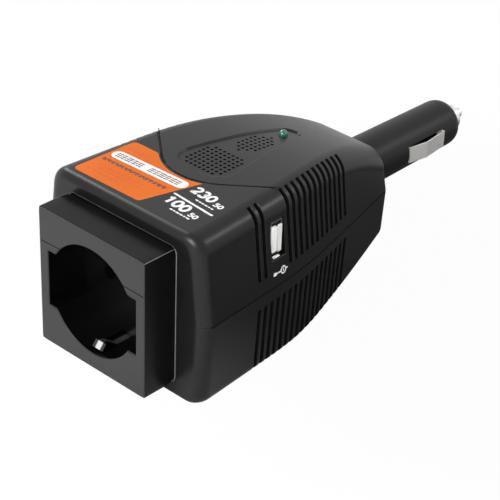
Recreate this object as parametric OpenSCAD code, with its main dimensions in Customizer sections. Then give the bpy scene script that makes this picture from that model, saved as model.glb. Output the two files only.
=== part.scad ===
// Plug-in car power inverter: a 12 V lighter-socket plug at the rear, an earthed mains
// socket at the front, a USB power port on the right and ventilated housing halves.
// The plug's axis runs along +Y. Stations are distances behind the housing's front face.

/* [Housing] */
// Length of the housing, front face to rear rim
body_len = 117; // [114:0.5:119]
// Width of the housing at the split line, near the front
body_w = 80.4; // [79:0.2:82]
// Height of the housing at the front
body_h = 65.4; // [65:0.1:66]
// Width of the housing at the rear rim
rear_w = 42; // [41:0.2:44]
// Height of the rear rim above the plug axis
rear_top = 15.3; // [15:0.1:16.5]
// Depth of the rear rim below the plug axis
rear_bottom = 20.4; // [19.5:0.1:21]
// Wall thickness of both housing halves
wall = 2.2; // [2:0.1:2.4]
// Radius of the long upper edges
top_edge_r = 7.4; // [6.5:0.1:8]
// Radius of the long lower edges
bottom_edge_r = 4.4; // [3.5:0.1:5]
// Radius of the upright front corners
front_corner_r = 4.8; // [4:0.1:5.5]

/* [Cooling grooves] */
// Number of grooves on each side
groove_count = 17; // [14:1:17]
// Station of the first groove
groove_start = 29.2; // [28.8:0.1:29.6]
// Spacing of the grooves
groove_pitch = 3.43; // [3.38:0.01:3.45]
// Width of one groove
groove_w = 1.8; // [1.2:0.1:2]
// Depth of one groove
groove_d = 1.2; // [0.8:0.1:1.4]

/* [Vent grille] */
// Spacing of the vent holes across the housing
vent_pitch = 2.06; // [2:0.02:2.1]
// Diameter of one vent hole
vent_d = 1.1; // [0.9:0.1:1.2]

/* [Mains socket] */
// Width of the socket block
block_w = 51.5; // [51:0.1:52]
// Height of the socket block
block_h = 53.5; // [53:0.1:54]
// How far the socket block stands out of the housing
block_out = 14.2; // [14:0.1:14.6]
// Diameter of the plug recess
recess_d = 41.7; // [41:0.1:42]
// Depth of the plug recess
recess_depth = 17.5; // [17.3:0.1:17.6]
// Distance between the two pin holes
pin_spacing = 19; // [19:0.1:19.2]
// Diameter of a pin hole
pin_hole_d = 5.5; // [5.4:0.1:5.6]

/* [Lighter plug] */
// Diameter of the plug barrel
barrel_d = 20.5; // [20.3:0.1:20.7]
// Length of the plug, rear rim to tip
plug_len = 71.4; // [71:0.1:72]

/* [USB port] */
// Width of the receptacle shell
usb_w = 5.7; // [5.6:0.1:5.8]
// Height of the receptacle shell
usb_h = 13.1; // [13:0.1:13.2]
// Station of the receptacle's centre
usb_station = 39.8; // [39.6:0.1:40]

/* [Hidden] */

$fn = 48;
eps = 0.02;

overall_len = block_out + body_len + plug_len;
front_y = block_out - overall_len / 2;
axis_z = body_h / 2;
half_w = body_w / 2;
half_h = body_h / 2;
rear_half_w = rear_w / 2;

// Plan: two straight runs joined by a smooth bend
front_taper = 0.073;
rear_taper = 0.2416;
plan_blend = 2.6;
// Side view: level runs that fall away to the rear rim
top_level = 35;
top_fall = 2.86;
top_slope = 0.004;
bottom_level = 52.4;
bottom_fall = 1.51;
// Draft of the side walls and the roundings at the two ends
upper_draft = 0.098;
lower_draft = 0.044;
front_top_r = 3.2;
front_bottom_r = 0.8;
rear_rim_r = 1.5;
rear_top_edge_r = 8.4;
rear_bottom_edge_r = 4.4;
front_wall = 2.4;
split_chamfer = 0.35;

// Socket block
block_drop = 0.65;
block_wall = 1.8;
block_face = 2;
block_back = 4.2;
recess_floor = recess_depth - block_out;
slot_w = 43.3;
slot_h = 21.9;
face_line_up = 13.8;
face_line_w = 0.35;
flange_out = 2.2;
opening_gap = 0.4;
opening_r = 2;
plate_t = 3.5;
plate_back = recess_floor + plate_t;
sleeve_r = 3.4;
sleeve_bore_r = pin_hole_d / 2;
sleeve_len = 15;
chamber_r = 5;
chamber_len = 12;
clip_w = 5;
clip_t = 0.7;
clip_base_z = 21.9;
strap_t = 0.7;

// Plug
barrel_r = barrel_d / 2;
barrel_end = 181;
barrel_end_r = 6;
barrel_inner_r = 8.2;
fuse_tube_r = 4.6;
fuse_bore_r = 3.5;
window_start = 144;
window_end = 166.3;
window_h = 7.6;
leaf_h = 6.8;
leaf_t = 0.5;
tip_travel = 3;
plug_tip = body_len + plug_len;
barrel_tail = 107;
barrel_flange_r = 13;
fuse_r = 3.175;
fuse_front = plug_tip - 13.6;
fuse_len = 31.8;

// Electronics
board_top = -18;
board_t = 1.6;
board_front = 14;
board_rear = 98;
board_posts = [[24, 20], [17, 92]];
boss_front = [28.5, 9.5];
boss_rear = [13.8, 104];
usb_up = 17.4;
usb_len = 14;
fan_station = 45.5;
fan_top = 28;
fan_size = 25;
fan_h = 7;
led_station = 80.2;
led_r = 1.65;

function sq(a) = a * a;

// Smooth minimum of two values, rounded over a width k
function soft_min(a, b, k) =
    let (h = max(0, min(1, 0.5 + 0.5 * (b - a) / k))) b * (1 - h) + a * h - k * h * (1 - h);

// Half width at the split line, and the heights above and below the plug axis
function side_x(s) =
    soft_min(half_w - front_taper * s, rear_half_w + rear_taper * (body_len - s), plan_blend);
function fall(s, level, power) = pow(max(0, min(1, (s - level) / (body_len - level))), power);
function top_z(s) =
    half_h - top_slope * s
    - (half_h - top_slope * body_len - rear_top) * fall(s, top_level, top_fall);
function bottom_z(s) = half_h - (half_h - rear_bottom) * fall(s, bottom_level, bottom_fall);

// How far an end rounding of radius r pulls the outline in
function front_pull(r, s) = s < r ? r - sqrt(max(0, sq(r) - sq(r - s))) : 0;
function rear_pull(s) =
    let (d = s - (body_len - rear_rim_r))
    d > 0 ? rear_rim_r - sqrt(max(0, sq(rear_rim_r) - sq(d))) : 0;
function edge_r(s, front, rear) = front + (rear - front) * pow(s / body_len, 3);

// Half widths and heights of the section at station s, drawn in by t
function sec_x(s, t) = side_x(s) - t - (t > 0 ? 0 : front_pull(front_corner_r, s) + rear_pull(s));
function sec_top(s, t) = top_z(s) - t - (t > 0 ? 0 : front_pull(front_top_r, s) + rear_pull(s));
function sec_bottom(s, t) =
    bottom_z(s) - t - (t > 0 ? 0 : front_pull(front_bottom_r, s) + rear_pull(s));

// Corner arc from the side to the level edge, as [x, height] pairs
function corner(x, h, r, steps) =
    [for (i = [0:steps]) let (a = 90 * i / steps) [x - r + r * cos(a), h - r + r * sin(a)]];

// Right half of a section from the split line upwards: height h, draft d, edge radius r
function half_section(x, h, d, r, seam, steps) =
    concat(
        seam > 0 ? [[x - seam, 0], [x - d * seam, seam]] : [[x, 0]],
        corner(x - d * h, h, r, steps)
    );

function upper_half(s, t, seam, steps) =
    half_section(sec_x(s, t), sec_top(s, t), upper_draft,
        edge_r(s, top_edge_r, rear_top_edge_r) - t, seam, steps);
function lower_half(s, t, seam, steps) =
    half_section(sec_x(s, t), sec_bottom(s, t), lower_draft,
        max(1, edge_r(s, bottom_edge_r, rear_bottom_edge_r) - t), seam, steps);

function turned(list) = [for (i = [len(list) - 1:-1:0]) list[i]];

// Closed ring of points at station s, for the upper (up = 1) or lower (up = -1) half
function ring(s, t, up, seam, steps) =
    let (
        right = up > 0 ? upper_half(s, t, seam, steps) : lower_half(s, t, seam, steps),
        left = [for (p = turned(right)) [-p[0], p[1]]],
        loop = concat(right, left),
        ordered = up > 0 ? loop : turned(loop)
    )
    [for (p = ordered) [p[0], s, up * p[1]]];

// Stations that follow the front rounding, the long run and the rear rounding
function stations() = concat(
    [for (i = [0:5]) front_corner_r * (1 - cos(18 * i))],
    [for (i = [1:26]) front_corner_r + (body_len - rear_rim_r - front_corner_r) * i / 26],
    [for (i = [1:4]) body_len - rear_rim_r + rear_rim_r * sin(22.5 * i)]
);
function inner_stations() =
    [for (i = [0:18]) front_wall + (body_len - wall - front_wall) * i / 18];

// Moves a piece from station coordinates to the part's frame
module placed() translate([0, front_y, axis_z]) children();

// Solid skinned over a list of rings that have the same number of points
module loft(rings) {
    n = len(rings[0]);
    m = len(rings);
    points = [for (r = rings) each r];
    sides = [
        for (j = [0:m - 2], i = [0:n - 1])
        let (a = j * n + i, b = j * n + (i + 1) % n)
        each [[a, b, b + n], [a, b + n, a + n]]
    ];
    caps = [[for (i = [n - 1:-1:0]) i], [for (i = [0:n - 1]) (m - 1) * n + i]];
    polyhedron(points, concat(caps, sides), convexity = 8);
}

// Strip of thickness t along a list of points in the plane
function unit(v) = v / norm(v);
function side_of(v) = [-v[1], v[0]];
function strip_normal(p, i) =
    let (
        last = len(p) - 1,
        a = unit(side_of(p[min(i + 1, last)] - p[max(i, 0) == last ? last - 1 : i])),
        b = unit(side_of(p[max(i, 1)] - p[max(i, 1) - 1])),
        m = unit(a + b)
    )
    m / max(0.5, m * a);
module strip(p, t) {
    left = [for (i = [0:len(p) - 1]) p[i] + strip_normal(p, i) * t / 2];
    right = [for (i = [len(p) - 1:-1:0]) p[i] - strip_normal(p, i) * t / 2];
    polygon(concat(left, right));
}

// Round wire through a list of points, with square-on rings and flat ends
function cross_unit(a, b) = let (c = cross(a, b)) c / norm(c);
function wire_dir(p, i) =
    unit(unit(p[min(i + 1, len(p) - 1)] - p[min(i, len(p) - 2)])
        + unit(p[max(i, 1)] - p[max(i, 1) - 1]));
module wire(p, r, sides, up) {
    loft([
        for (i = [0:len(p) - 1])
        let (d = wire_dir(p, i), u = cross_unit(d, up), v = cross(d, u))
        [for (k = [0:sides - 1]) p[i] + r * (u * cos(360 * k / sides) - v * sin(360 * k / sides))]
    ]);
}

module along_y(from, to, r) translate([0, from, 0]) rotate([-90, 0, 0]) cylinder(h = to - from, r = r);
module box(lo, hi) translate(lo) cube(hi - lo);
module both_sides() {
    children();
    mirror([1, 0, 0]) children();
}

// Turns a drawing of [x, height] into a plate across the part, from station s
module across(s, thickness) translate([0, s + thickness, 0]) rotate([90, 0, 0]) linear_extrude(thickness) children();

// ---- housing ----

function groove_station(k) = groove_start + k * groove_pitch;

// Band that a cooling groove takes out of a corner: the side, the edge and a little beyond
module groove_band(x, h, d, r, low, sweep) {
    cx = x - d * h - r;
    cz = h - r;
    inner = [for (a = [0:sweep / 6:sweep]) [cx + (r - groove_d) * cos(a), cz + (r - groove_d) * sin(a)]];
    outer = [for (a = [sweep:-sweep / 3:0]) [cx + (r + 2) * cos(a), cz + (r + 2) * sin(a)]];
    polygon(concat([[x - d * low - groove_d, low]], inner, outer, [[x + 2, low]]));
}

module upper_groove(k) {
    s = groove_station(k);
    across(s - groove_w / 2, groove_w)
        groove_band(side_x(s), top_z(s), upper_draft,
            edge_r(s, top_edge_r, rear_top_edge_r), 5.4, 66);
}

module lower_groove(k) {
    s = groove_station(k);
    mirror([0, 0, 1])
        across(s - groove_w / 2, groove_w)
            groove_band(side_x(s), bottom_z(s), lower_draft,
                edge_r(s, bottom_edge_r, rear_bottom_edge_r), 5.6 - 0.11 * k, 90);
}

// Everything above a surface that lies a depth d under the roof, between two stations
module roof_layer(from, to, d) {
    profile = [for (i = [0:16]) let (s = from + (to - from) * i / 16) [s, top_z(s) - d]];
    translate([-half_w, 0, 0])
        rotate([90, 0, 90])
            linear_extrude(2 * half_w)
                polygon(concat([[from, half_h + 5]], profile, [[to, half_h + 5]]));
}

// Rounded arrow outline in plan: nose radius r, flanks at 40.5 degrees to X
module arrow(r) {
    reach = 29;
    flank = 40.5;
    cy = 50.1;
    arc = [for (a = [-flank:flank / 6:flank]) [r * sin(a), cy - r * cos(a)]];
    rise = (reach - r * sin(flank)) * tan(flank);
    far = [reach, cy - r * cos(flank) + rise];
    polygon(concat([[-far[0], far[1]]], arc, [far, [0, 70]]));
}

// The line that parts the label area from the raised rear panel
module panel_line() {
    intersection() {
        roof_layer(20, 60, 0.45);
        linear_extrude(half_h + 4)
            difference() {
                arrow(22.75);
                arrow(22.25);
            }
    }
}

// Teardrop outline in plan: blunt front, straight flanks and a round end about the lamp
module teardrop() {
    front = [
        for (i = [0:8])
        let (c = cos(90 * i / 8))
        [12.05 * pow(max(0, 1 - pow(c, 2.6)), 1 / 2.6), 43 - 9.2 * c]
    ];
    rear = [for (a = [10.9:11.3:90.1]) [4.25 * cos(a), 83 + 4.25 * sin(a)]];
    right = concat(front, rear);
    left = [for (p = turned(right)) [-p[0], p[1]]];
    polygon(concat(right, left));
}

// Rows of vent holes from station first on, with the number of holes in each row
module vent_field(first, row_pitch, counts) {
    for (j = [0:len(counts) - 1], i = [0:counts[j] - 1])
        translate([(i - (counts[j] - 1) / 2) * vent_pitch, first + j * row_pitch, 25])
            cylinder(h = 8, d = vent_d, $fn = 16);
}

module socket_opening() {
    w = block_w + 2 * opening_gap - 2 * opening_r;
    h = block_h + 2 * opening_gap - 2 * opening_r;
    across(-2, front_wall + 4)
        translate([0, -block_drop])
            union() {
                square([w + 2 * opening_r, h], center = true);
                square([w, h + 2 * opening_r], center = true);
                for (x = [-1, 1], z = [-1, 1])
                    translate([x * w / 2, z * h / 2])
                        circle(r = opening_r);
            }
}

module plug_opening() along_y(body_len - wall - 2, body_len + 2, barrel_r + 0.1);

// Cradle wall that holds the plug flange against the rear wall
module plug_cradle(depth) {
    difference() {
        box([-15, 109.2, -depth], [15, 111.5, 0]);
        along_y(100, 120, 9);
    }
}

module lower_housing() color([0.13, 0.13, 0.14]) placed() {
    difference() {
        union() {
            difference() {
                loft([for (s = stations()) ring(s, 0, -1, split_chamfer, 6)]);
                loft([for (s = inner_stations()) ring(s, wall, -1, 0, 3)]);
            }
            both_sides() {
                for (p = board_posts)
                    translate([p[0], p[1], 1.6 - bottom_z(p[1])])
                        cylinder(h = bottom_z(p[1]) - 1.6 + board_top - board_t, r = 3);
                for (p = [boss_front, boss_rear])
                    translate([p[0], p[1], 1.8 - bottom_z(p[1])])
                        cylinder(h = bottom_z(p[1]) - 1.8, r = 3.4);
            }
            plug_cradle(20.4);
        }
        socket_opening();
        plug_opening();
        both_sides() {
            for (k = [0:groove_count - 1])
                lower_groove(k);
            for (p = board_posts)
                translate([p[0], p[1], max(board_top - board_t - 10, 1.8 - bottom_z(p[1]))])
                    cylinder(h = 12, r = 1.1, $fn = 24);
            for (p = [boss_front, boss_rear])
                translate([p[0], p[1], -bottom_z(p[1]) - 1]) {
                    cylinder(h = 50, r = 1.7, $fn = 24);
                    cylinder(h = 9, r = 3, $fn = 32);
                }
        }
    }
}

module upper_housing() color([0.15, 0.15, 0.16]) placed() {
    difference() {
        union() {
            difference() {
                loft([for (s = stations()) ring(s, 0, 1, split_chamfer, 6)]);
                loft([for (s = inner_stations()) ring(s, wall, 1, 0, 3)]);
            }
            both_sides()
                for (p = [boss_front, boss_rear])
                    translate([p[0], p[1], 0])
                        cylinder(h = top_z(p[1]) - 3, r = 3.4);
            for (x = [-1, 1], y = [-1, 1])
                translate([x * 11, fan_station + y * 11, fan_top])
                    cylinder(h = 3, r = 1.3, $fn = 24);
            mirror([0, 0, 1])
                plug_cradle(17);
        }
        socket_opening();
        plug_opening();
        for (k = [0:groove_count - 1])
            mirror([1, 0, 0])
                upper_groove(k);
        for (k = [0:groove_count - 1])
            if (abs(groove_station(k) - usb_station) > 5)
                upper_groove(k);
        both_sides()
            for (p = [boss_front, boss_rear])
                translate([p[0], p[1], -1])
                    cylinder(h = 12, r = 1.3, $fn = 24);
        panel_line();
        intersection() {
            roof_layer(30, 90, 0.6);
            linear_extrude(half_h + 4)
                teardrop();
        }
        vent_field(36.95, 2.1, [7, 9, 9, 9, 9, 9, 9, 7]);
        vent_field(56.7, 2.15, [1, 3, 5, 5, 5, 5, 5, 3, 1]);
        translate([0, led_station, 20])
            cylinder(h = 15, r = led_r + 0.05);
        box([30, usb_station - usb_w / 2 - 0.95, usb_up - usb_h / 2 - 0.7],
            [half_w + 2, usb_station + usb_w / 2 + 0.95, usb_up + usb_h / 2 + 0.7]);
    }
}

// ---- mains socket ----

module round_slot(r, w, h) {
    circle(r = r, $fn = 96);
    square([w, h], center = true);
}

// Channel in the recess wall that an earth clip springs into
module clip_channel() box([-3, -block_out + 1.6, 17], [3, recess_floor + 1, 24.6]);

module socket_block() color([0.16, 0.16, 0.165]) placed() translate([0, 0, -block_drop]) {
    difference() {
        union() {
            across(-block_out, block_out + block_back)
                difference() {
                    square([block_w, block_h], center = true);
                    square([block_w - 2 * block_wall, block_h - 2 * block_wall], center = true);
                }
            across(-block_out, block_face)
                square([block_w, block_h], center = true);
            across(-block_out, recess_depth)
                intersection() {
                    round_slot(recess_d / 2 + block_wall, block_w, slot_h + 2 * block_wall);
                    square([block_w - 1, block_h - 1], center = true);
                }
            across(-block_out, recess_depth)
                square([10, block_h - 1], center = true);
            across(front_wall, block_back - front_wall)
                difference() {
                    square([block_w + 2 * flange_out, block_h + 2 * flange_out], center = true);
                    square([block_w - 1, block_h - 1], center = true);
                }
        }
        across(-block_out - 1, recess_depth + 1)
            round_slot(recess_d / 2, slot_w, slot_h);
        for (m = [0, 1])
            mirror([0, 0, m])
                clip_channel();
        for (x = [-1, 1])
            box([x > 0 ? 15.9 : -block_w, -block_out - 1, face_line_up - face_line_w / 2],
                [x > 0 ? block_w : -15.9, -block_out + face_line_w, face_line_up + face_line_w / 2]);
    }
}

module contact_carrier() color([0.1, 0.1, 0.1]) placed() translate([0, 0, -block_drop]) {
    difference() {
        union() {
            across(recess_floor, plate_t)
                square([block_w - 2 * block_wall - 0.4, block_h - 2 * block_wall - 0.4], center = true);
            for (x = [-1, 1])
                translate([x * pin_spacing / 2, 0, 0])
                    along_y(plate_back - 1, plate_back + chamber_len, chamber_r);
        }
        for (x = [-1, 1])
            translate([x * pin_spacing / 2, 0, 0]) {
                along_y(recess_floor - 1, plate_back + 1, pin_hole_d / 2);
                along_y(plate_back, plate_back + chamber_len + 1, sleeve_r + 0.05);
            }
        for (m = [0, 1])
            mirror([0, 0, m])
                box([-clip_w / 2 - 0.1, recess_floor - 1, clip_base_z - 0.9],
                    [clip_w / 2 + 0.1, plate_back + 1, clip_base_z + 0.9]);
    }
}

module pin_sleeve() {
    difference() {
        along_y(plate_back, plate_back + sleeve_len, sleeve_r);
        along_y(plate_back - 1, plate_back + sleeve_len - 1, sleeve_bore_r);
        box([-0.4, plate_back + 3, -sleeve_r - 1], [0.4, plate_back + sleeve_len - 2, sleeve_r + 1]);
    }
    box([-0.5, plate_back + sleeve_len - eps, -2], [0.5, plate_back + sleeve_len + 5, 2]);
}
module line_contact() color([0.78, 0.62, 0.3]) placed()
    translate([pin_spacing / 2, 0, -block_drop]) pin_sleeve();
module neutral_contact() color([0.78, 0.62, 0.3]) placed()
    translate([-pin_spacing / 2, 0, -block_drop]) pin_sleeve();

// Strap behind the carrier that joins the two earth clips
module earth_strap() color([0.8, 0.8, 0.78]) placed() translate([0, 0, -block_drop]) {
    reach = clip_base_z + strap_t / 2;
    box([-clip_w / 2, plate_back, -reach], [clip_w / 2, plate_back + strap_t, reach]);
    for (m = [0, 1])
        mirror([0, 0, m])
            box([-clip_w / 2, recess_floor + 1.2, clip_base_z - strap_t / 2],
                [clip_w / 2, plate_back + eps, clip_base_z + strap_t / 2]);
}

// Sprung earth clip: runs along the recess wall, bows inwards near the mouth
module earth_clip() {
    path = [
        [recess_floor + 0.4, clip_base_z], [-3.4, clip_base_z], [-8.6, 18.3],
        [-9.8, 18.3], [-11.4, 20.4]
    ];
    translate([-clip_w / 2, 0, 0])
        rotate([90, 0, 90])
            linear_extrude(clip_w)
                union() {
                    strip(path, clip_t);
                    translate(path[0])
                        circle(r = clip_t / 2);
                }
}
module earth_clip_top() color([0.85, 0.85, 0.83]) placed()
    translate([0, 0, -block_drop]) earth_clip();
module earth_clip_bottom() color([0.85, 0.85, 0.83]) placed()
    translate([0, 0, -block_drop]) mirror([0, 0, 1]) earth_clip();

// ---- lighter plug ----

// Turned part about the plug axis from [radius, station] points
module turned_part(profile) rotate([-90, 0, 0]) rotate_extrude($fn = 72) polygon(profile);

module plug_barrel() color([0.12, 0.12, 0.12]) placed() {
    nose_start = barrel_end - 9.5;
    nose = [
        for (i = [0:8])
        let (a = 90 * i / 8)
        [barrel_end_r + (barrel_r - barrel_end_r) * pow(cos(a), 0.85), nose_start + 9.5 * sin(a)]
    ];
    difference() {
        turned_part(concat(
            [[fuse_bore_r + 1.5, barrel_tail], [8.9, barrel_tail], [8.9, 111.8],
            [barrel_flange_r, 111.8], [barrel_flange_r, body_len - wall],
            [barrel_r, body_len - wall]],
            nose,
            [[fuse_bore_r + 1.2, barrel_end], [fuse_bore_r + 1.2, fuse_front - 0.4],
            [fuse_bore_r, fuse_front - 0.4], [fuse_bore_r, 121.5], [1.5, 121.5], [1.5, 119],
            [fuse_bore_r + 1.5, 119]]
        ));
        turned_part([[fuse_tube_r, 121.5], [barrel_inner_r, 121.5], [barrel_inner_r, 169],
            [fuse_tube_r, 169]]);
        for (x = [-1, 1])
            box([x > 0 ? fuse_tube_r + 1 : -barrel_r - 1, window_start, -window_h / 2],
                [x > 0 ? barrel_r + 1 : -fuse_tube_r - 1, window_end, window_h / 2]);
        translate([0, 0, -6.4])
            along_y(barrel_tail - 1, 122.5, 1.2);
    }
}

module nose_cap() color([0.78, 0.76, 0.7]) placed()
    turned_part([
        [fuse_bore_r - 0.08, fuse_front - 0.1], [4.62, fuse_front - 0.1], [4.62, barrel_end + 0.2],
        [5.4, barrel_end + 0.2], [5.4, barrel_end + 1], [3.3, barrel_end + 3.7],
        [2.9, barrel_end + 4.1], [2.25, barrel_end + 4.1], [2.25, fuse_front + 2.9],
        [fuse_bore_r - 0.08, fuse_front + 2.9]
    ]);

module nose_washer() color([0.82, 0.74, 0.5]) placed()
    turned_part([
        [2.35, fuse_front + 2.3], [3.3, fuse_front + 2.3], [3.3, fuse_front + 2.8],
        [2.35, fuse_front + 2.8]
    ]);

module tip_contact() color([0.83, 0.82, 0.8]) placed()
    turned_part([
        [0, fuse_front], [3.1, fuse_front], [3.1, fuse_front + 2.1], [2.15, fuse_front + 2.1],
        [2.15, plug_tip - 1.4], [1.95, plug_tip - 0.6], [1.3, plug_tip - 0.1], [0, plug_tip]
    ]);

module fuse_glass() color([0.8, 0.9, 0.9, 0.4]) placed()
    difference() {
        along_y(fuse_front - fuse_len + 0.5, fuse_front - 0.5, fuse_r - 0.25);
        along_y(fuse_front - fuse_len, fuse_front, fuse_r - 0.9);
    }

module fuse_caps() color([0.8, 0.8, 0.82]) placed() {
    for (y = [fuse_front - fuse_len, fuse_front - 6])
        difference() {
            along_y(y, y + 6, fuse_r);
            along_y(y > fuse_front - 10 ? y - 1 : y + 0.5, y > fuse_front - 10 ? y + 5.5 : y + 7,
                fuse_r - 0.25);
        }
}

module fuse_wire() color([0.75, 0.75, 0.78]) placed()
    along_y(fuse_front - fuse_len + 0.5, fuse_front - 0.5, 0.3, $fn = 16);

// Coil spring that pushes the fuse and the tip forward
module plug_spring() color([0.7, 0.7, 0.72]) placed() {
    wire_r = 0.35;
    coil_r = 2.6;
    turns = 8;
    from = 123 + wire_r;
    to = fuse_front - fuse_len - wire_r;
    steps = 10 * turns;
    wire([for (i = [0:steps]) let (a = 360 * turns * i / steps)
        [coil_r * cos(a), from + (to - from) * i / steps, coil_r * sin(a)]], wire_r, 6, [0, 1, 0]);
}

module fuse_base() color([0.8, 0.65, 0.35]) placed() {
    along_y(121.5, 123, 3.4);
    along_y(106, 121.5 + eps, 1.45);
}

// Sprung side contact: a bowed leaf between two feet inside the barrel
module side_leaf() {
    path = [
        [6.9, 141.8], [6.9, 144.8], [9.6, 144.8], [11.2, 153.2], [9.9, 165.4],
        [6.9, 165.4], [6.9, 168]
    ];
    translate([0, 0, -leaf_h / 2])
        linear_extrude(leaf_h)
            strip(path, leaf_t);
}
module side_contact_right() color([0.86, 0.86, 0.85]) placed() side_leaf();
module side_contact_left() color([0.86, 0.86, 0.85]) placed() mirror([1, 0, 0]) side_leaf();

// ---- electronics ----

function board_half_w(s) = min(30, side_x(s) - wall - 3.5);

module circuit_board() color([0.1, 0.35, 0.2]) placed() {
    right = [for (i = [0:6]) let (s = board_front + (board_rear - board_front) * i / 6)
        [board_half_w(s), s]];
    left = [for (p = turned(right)) [-p[0], p[1]]];
    translate([0, 0, board_top - board_t])
        difference() {
            linear_extrude(board_t)
                polygon(concat(right, left));
            both_sides()
                for (p = board_posts)
                    translate([p[0], p[1], -1])
                        cylinder(h = 4, r = 1.5, $fn = 24);
        }
}

module on_board(x, s) translate([x, s, board_top]) children();

// Ferrite core: two E halves with a round-cornered winding window each side
core = [34, 13, 28];
module transformer_core() color([0.2, 0.2, 0.21]) placed() on_board(0, 74)
    translate([0, 0, core[2] / 2])
        difference() {
            cube(core, center = true);
            for (x = [-1, 1])
                translate([x * 9, 0, 0])
                    cube([8, core[1] + 2, 18], center = true);
        }

module transformer_coil() color([0.75, 0.6, 0.2]) placed() on_board(0, 74)
    translate([0, 0, core[2] / 2])
        difference() {
            union() {
                translate([0, 0, -8])
                    linear_extrude(16)
                        intersection() {
                            square([25.6, 27], center = true);
                            circle(r = 15.6);
                        }
                for (z = [-9, 8])
                    translate([-12.9, -14, z])
                        cube([25.8, 28, 1]);
            }
            cube([10, core[1], 40], center = true);
            for (x = [-1, 1])
                translate([x * 17, 0, 0])
                    cube([8, core[1], 40], center = true);
        }

module can_capacitor(r, h) {
    difference() {
        union() {
            cylinder(h = h, r = r);
            translate([0, 0, h - eps])
                cylinder(h = 0.3, r = r - 0.8);
        }
        translate([0, 0, 2.2])
            rotate_extrude()
                translate([r + 0.3, 0])
                    circle(r = 0.8, $fn = 24);
        for (a = [0, 90])
            rotate(a)
                translate([-r, -0.2, h])
                    cube([2 * r, 0.4, 1]);
    }
}
module storage_capacitor() color([0.12, 0.14, 0.3]) placed() on_board(13.5, 51.5) can_capacitor(8, 26);
module input_capacitors() color([0.1, 0.2, 0.25]) placed() {
    for (x = [-10, 10])
        on_board(x, 93)
            can_capacitor(4, 17);
}

module output_choke() color([0.65, 0.4, 0.15]) placed() on_board(-4, 45)
    translate([0, 0, 3.6])
        rotate_extrude()
            translate([6.4, 0])
                circle(r = 3.6, $fn = 32);

transistor_stations = [30, 40, 50, 60];
heatsink_x = -21;
module power_transistors() color([0.12, 0.12, 0.12]) placed() {
    for (s = transistor_stations)
        on_board(heatsink_x, s) {
            translate([0.5, -5, 4])
                cube([4, 10, 9]);
            difference() {
                translate([0, -5, 4])
                    cube([1.2, 10, 15.5]);
                translate([-1, 0, 16.5])
                    rotate([0, 90, 0])
                        cylinder(h = 4, r = 1.8, $fn = 24);
            }
            for (y = [-2.5, 0, 2.5])
                translate([2.2, y - 0.4, 0])
                    cube([0.6, 0.8, 4.2]);
        }
}

module heatsink() color([0.75, 0.76, 0.78]) placed() {
    from = 24;
    to = 66;
    translate([0, 0, board_top]) {
        box([heatsink_x - 2, from, 0], [heatsink_x, to, 26]);
        for (z = [2:4:24])
            box([heatsink_x - 8, from, z], [heatsink_x - 2 + eps, to, z + 1.2]);
    }
}

module buzzer() color([0.08, 0.08, 0.08]) placed() on_board(8, 22)
    difference() {
        cylinder(h = 8.5, r = 6);
        translate([0, 0, 6])
            cylinder(h = 3, r = 1);
    }

// ---- USB port ----

usb_face = side_x(usb_station) - upper_draft * usb_up - 1.5;
usb_back = usb_face - usb_len;
shell_t = 0.35;
module usb_shell() color([0.85, 0.85, 0.86]) placed() translate([usb_back, usb_station, usb_up]) {
    difference() {
        translate([0, -usb_w / 2, -usb_h / 2])
            cube([usb_len, usb_w, usb_h]);
        translate([1.5, -usb_w / 2 + shell_t, -usb_h / 2 + shell_t])
            cube([usb_len, usb_w - 2 * shell_t, usb_h - 2 * shell_t]);
        for (z = [-3.2, 3.2])
            translate([usb_len - 8, -usb_w, z - 1.1])
                cube([5.5, usb_w, 2.2]);
    }
}

module usb_tongue() color([0.93, 0.93, 0.92]) placed() translate([usb_back + 1.5, usb_station, usb_up]) {
    box([0, -usb_w / 2 + shell_t, -usb_h / 2 + shell_t], [3.5, usb_w / 2 - shell_t, usb_h / 2 - shell_t]);
    box([3.5 - eps, 0.2, -5.6], [usb_len - 2.1, 2, 5.6]);
}

module usb_board() color([0.1, 0.3, 0.18]) placed() {
    y = usb_station + usb_w / 2;
    box([usb_back + 1, y, board_top], [usb_back + 10.5, y + 1.6, usb_up + 7]);
    box([usb_back + 1, y + 1.6 - eps, 2], [usb_back + 7, y + 4.4, 8]);
}

// ---- lamp and fan ----

module status_led() color([0.1, 0.5, 0.3]) placed() translate([0, led_station, 0]) {
    seat = top_z(led_station) - wall - 0.8;
    translate([0, 0, seat])
        cylinder(h = 2.87, r = led_r);
    translate([0, 0, seat - 1])
        cylinder(h = 1 + eps, r = led_r + 0.7);
    translate([0, 0, seat + 2.87])
        intersection() {
            sphere(r = led_r);
            translate([0, 0, led_r / 2 - eps])
                cube([2 * led_r, 2 * led_r, led_r], center = true);
        }
}

module led_leads() color([0.7, 0.7, 0.7]) placed() {
    seat = top_z(led_station) - wall - 1.8;
    for (x = [-1, 1])
        wire([[x, led_station, seat], [x, led_station, seat - 5], [x * 1.6, 84, seat - 10],
            [x * 1.6, 88.5, seat - 17], [x * 1.6, 90, 0], [x * 1.6, 90, -10],
            [x * 1.6, 90, board_top]], 0.5, 6, [1, 0, 0]);
}

module fan_frame() color([0.1, 0.1, 0.1]) placed() translate([0, fan_station, fan_top - fan_h]) {
    difference() {
        translate([-fan_size / 2, -fan_size / 2, 0])
            cube([fan_size, fan_size, fan_h]);
        translate([0, 0, -1])
            cylinder(h = fan_h + 2, r = 11.7, $fn = 64);
    }
    cylinder(h = 1, r = 6.2);
    for (a = [45, 165, 285])
        rotate(a)
            translate([5, -0.8, 0])
                cube([7.5, 1.6, 1]);
    cylinder(h = 5.4, r = 0.8, $fn = 24);
}

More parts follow.
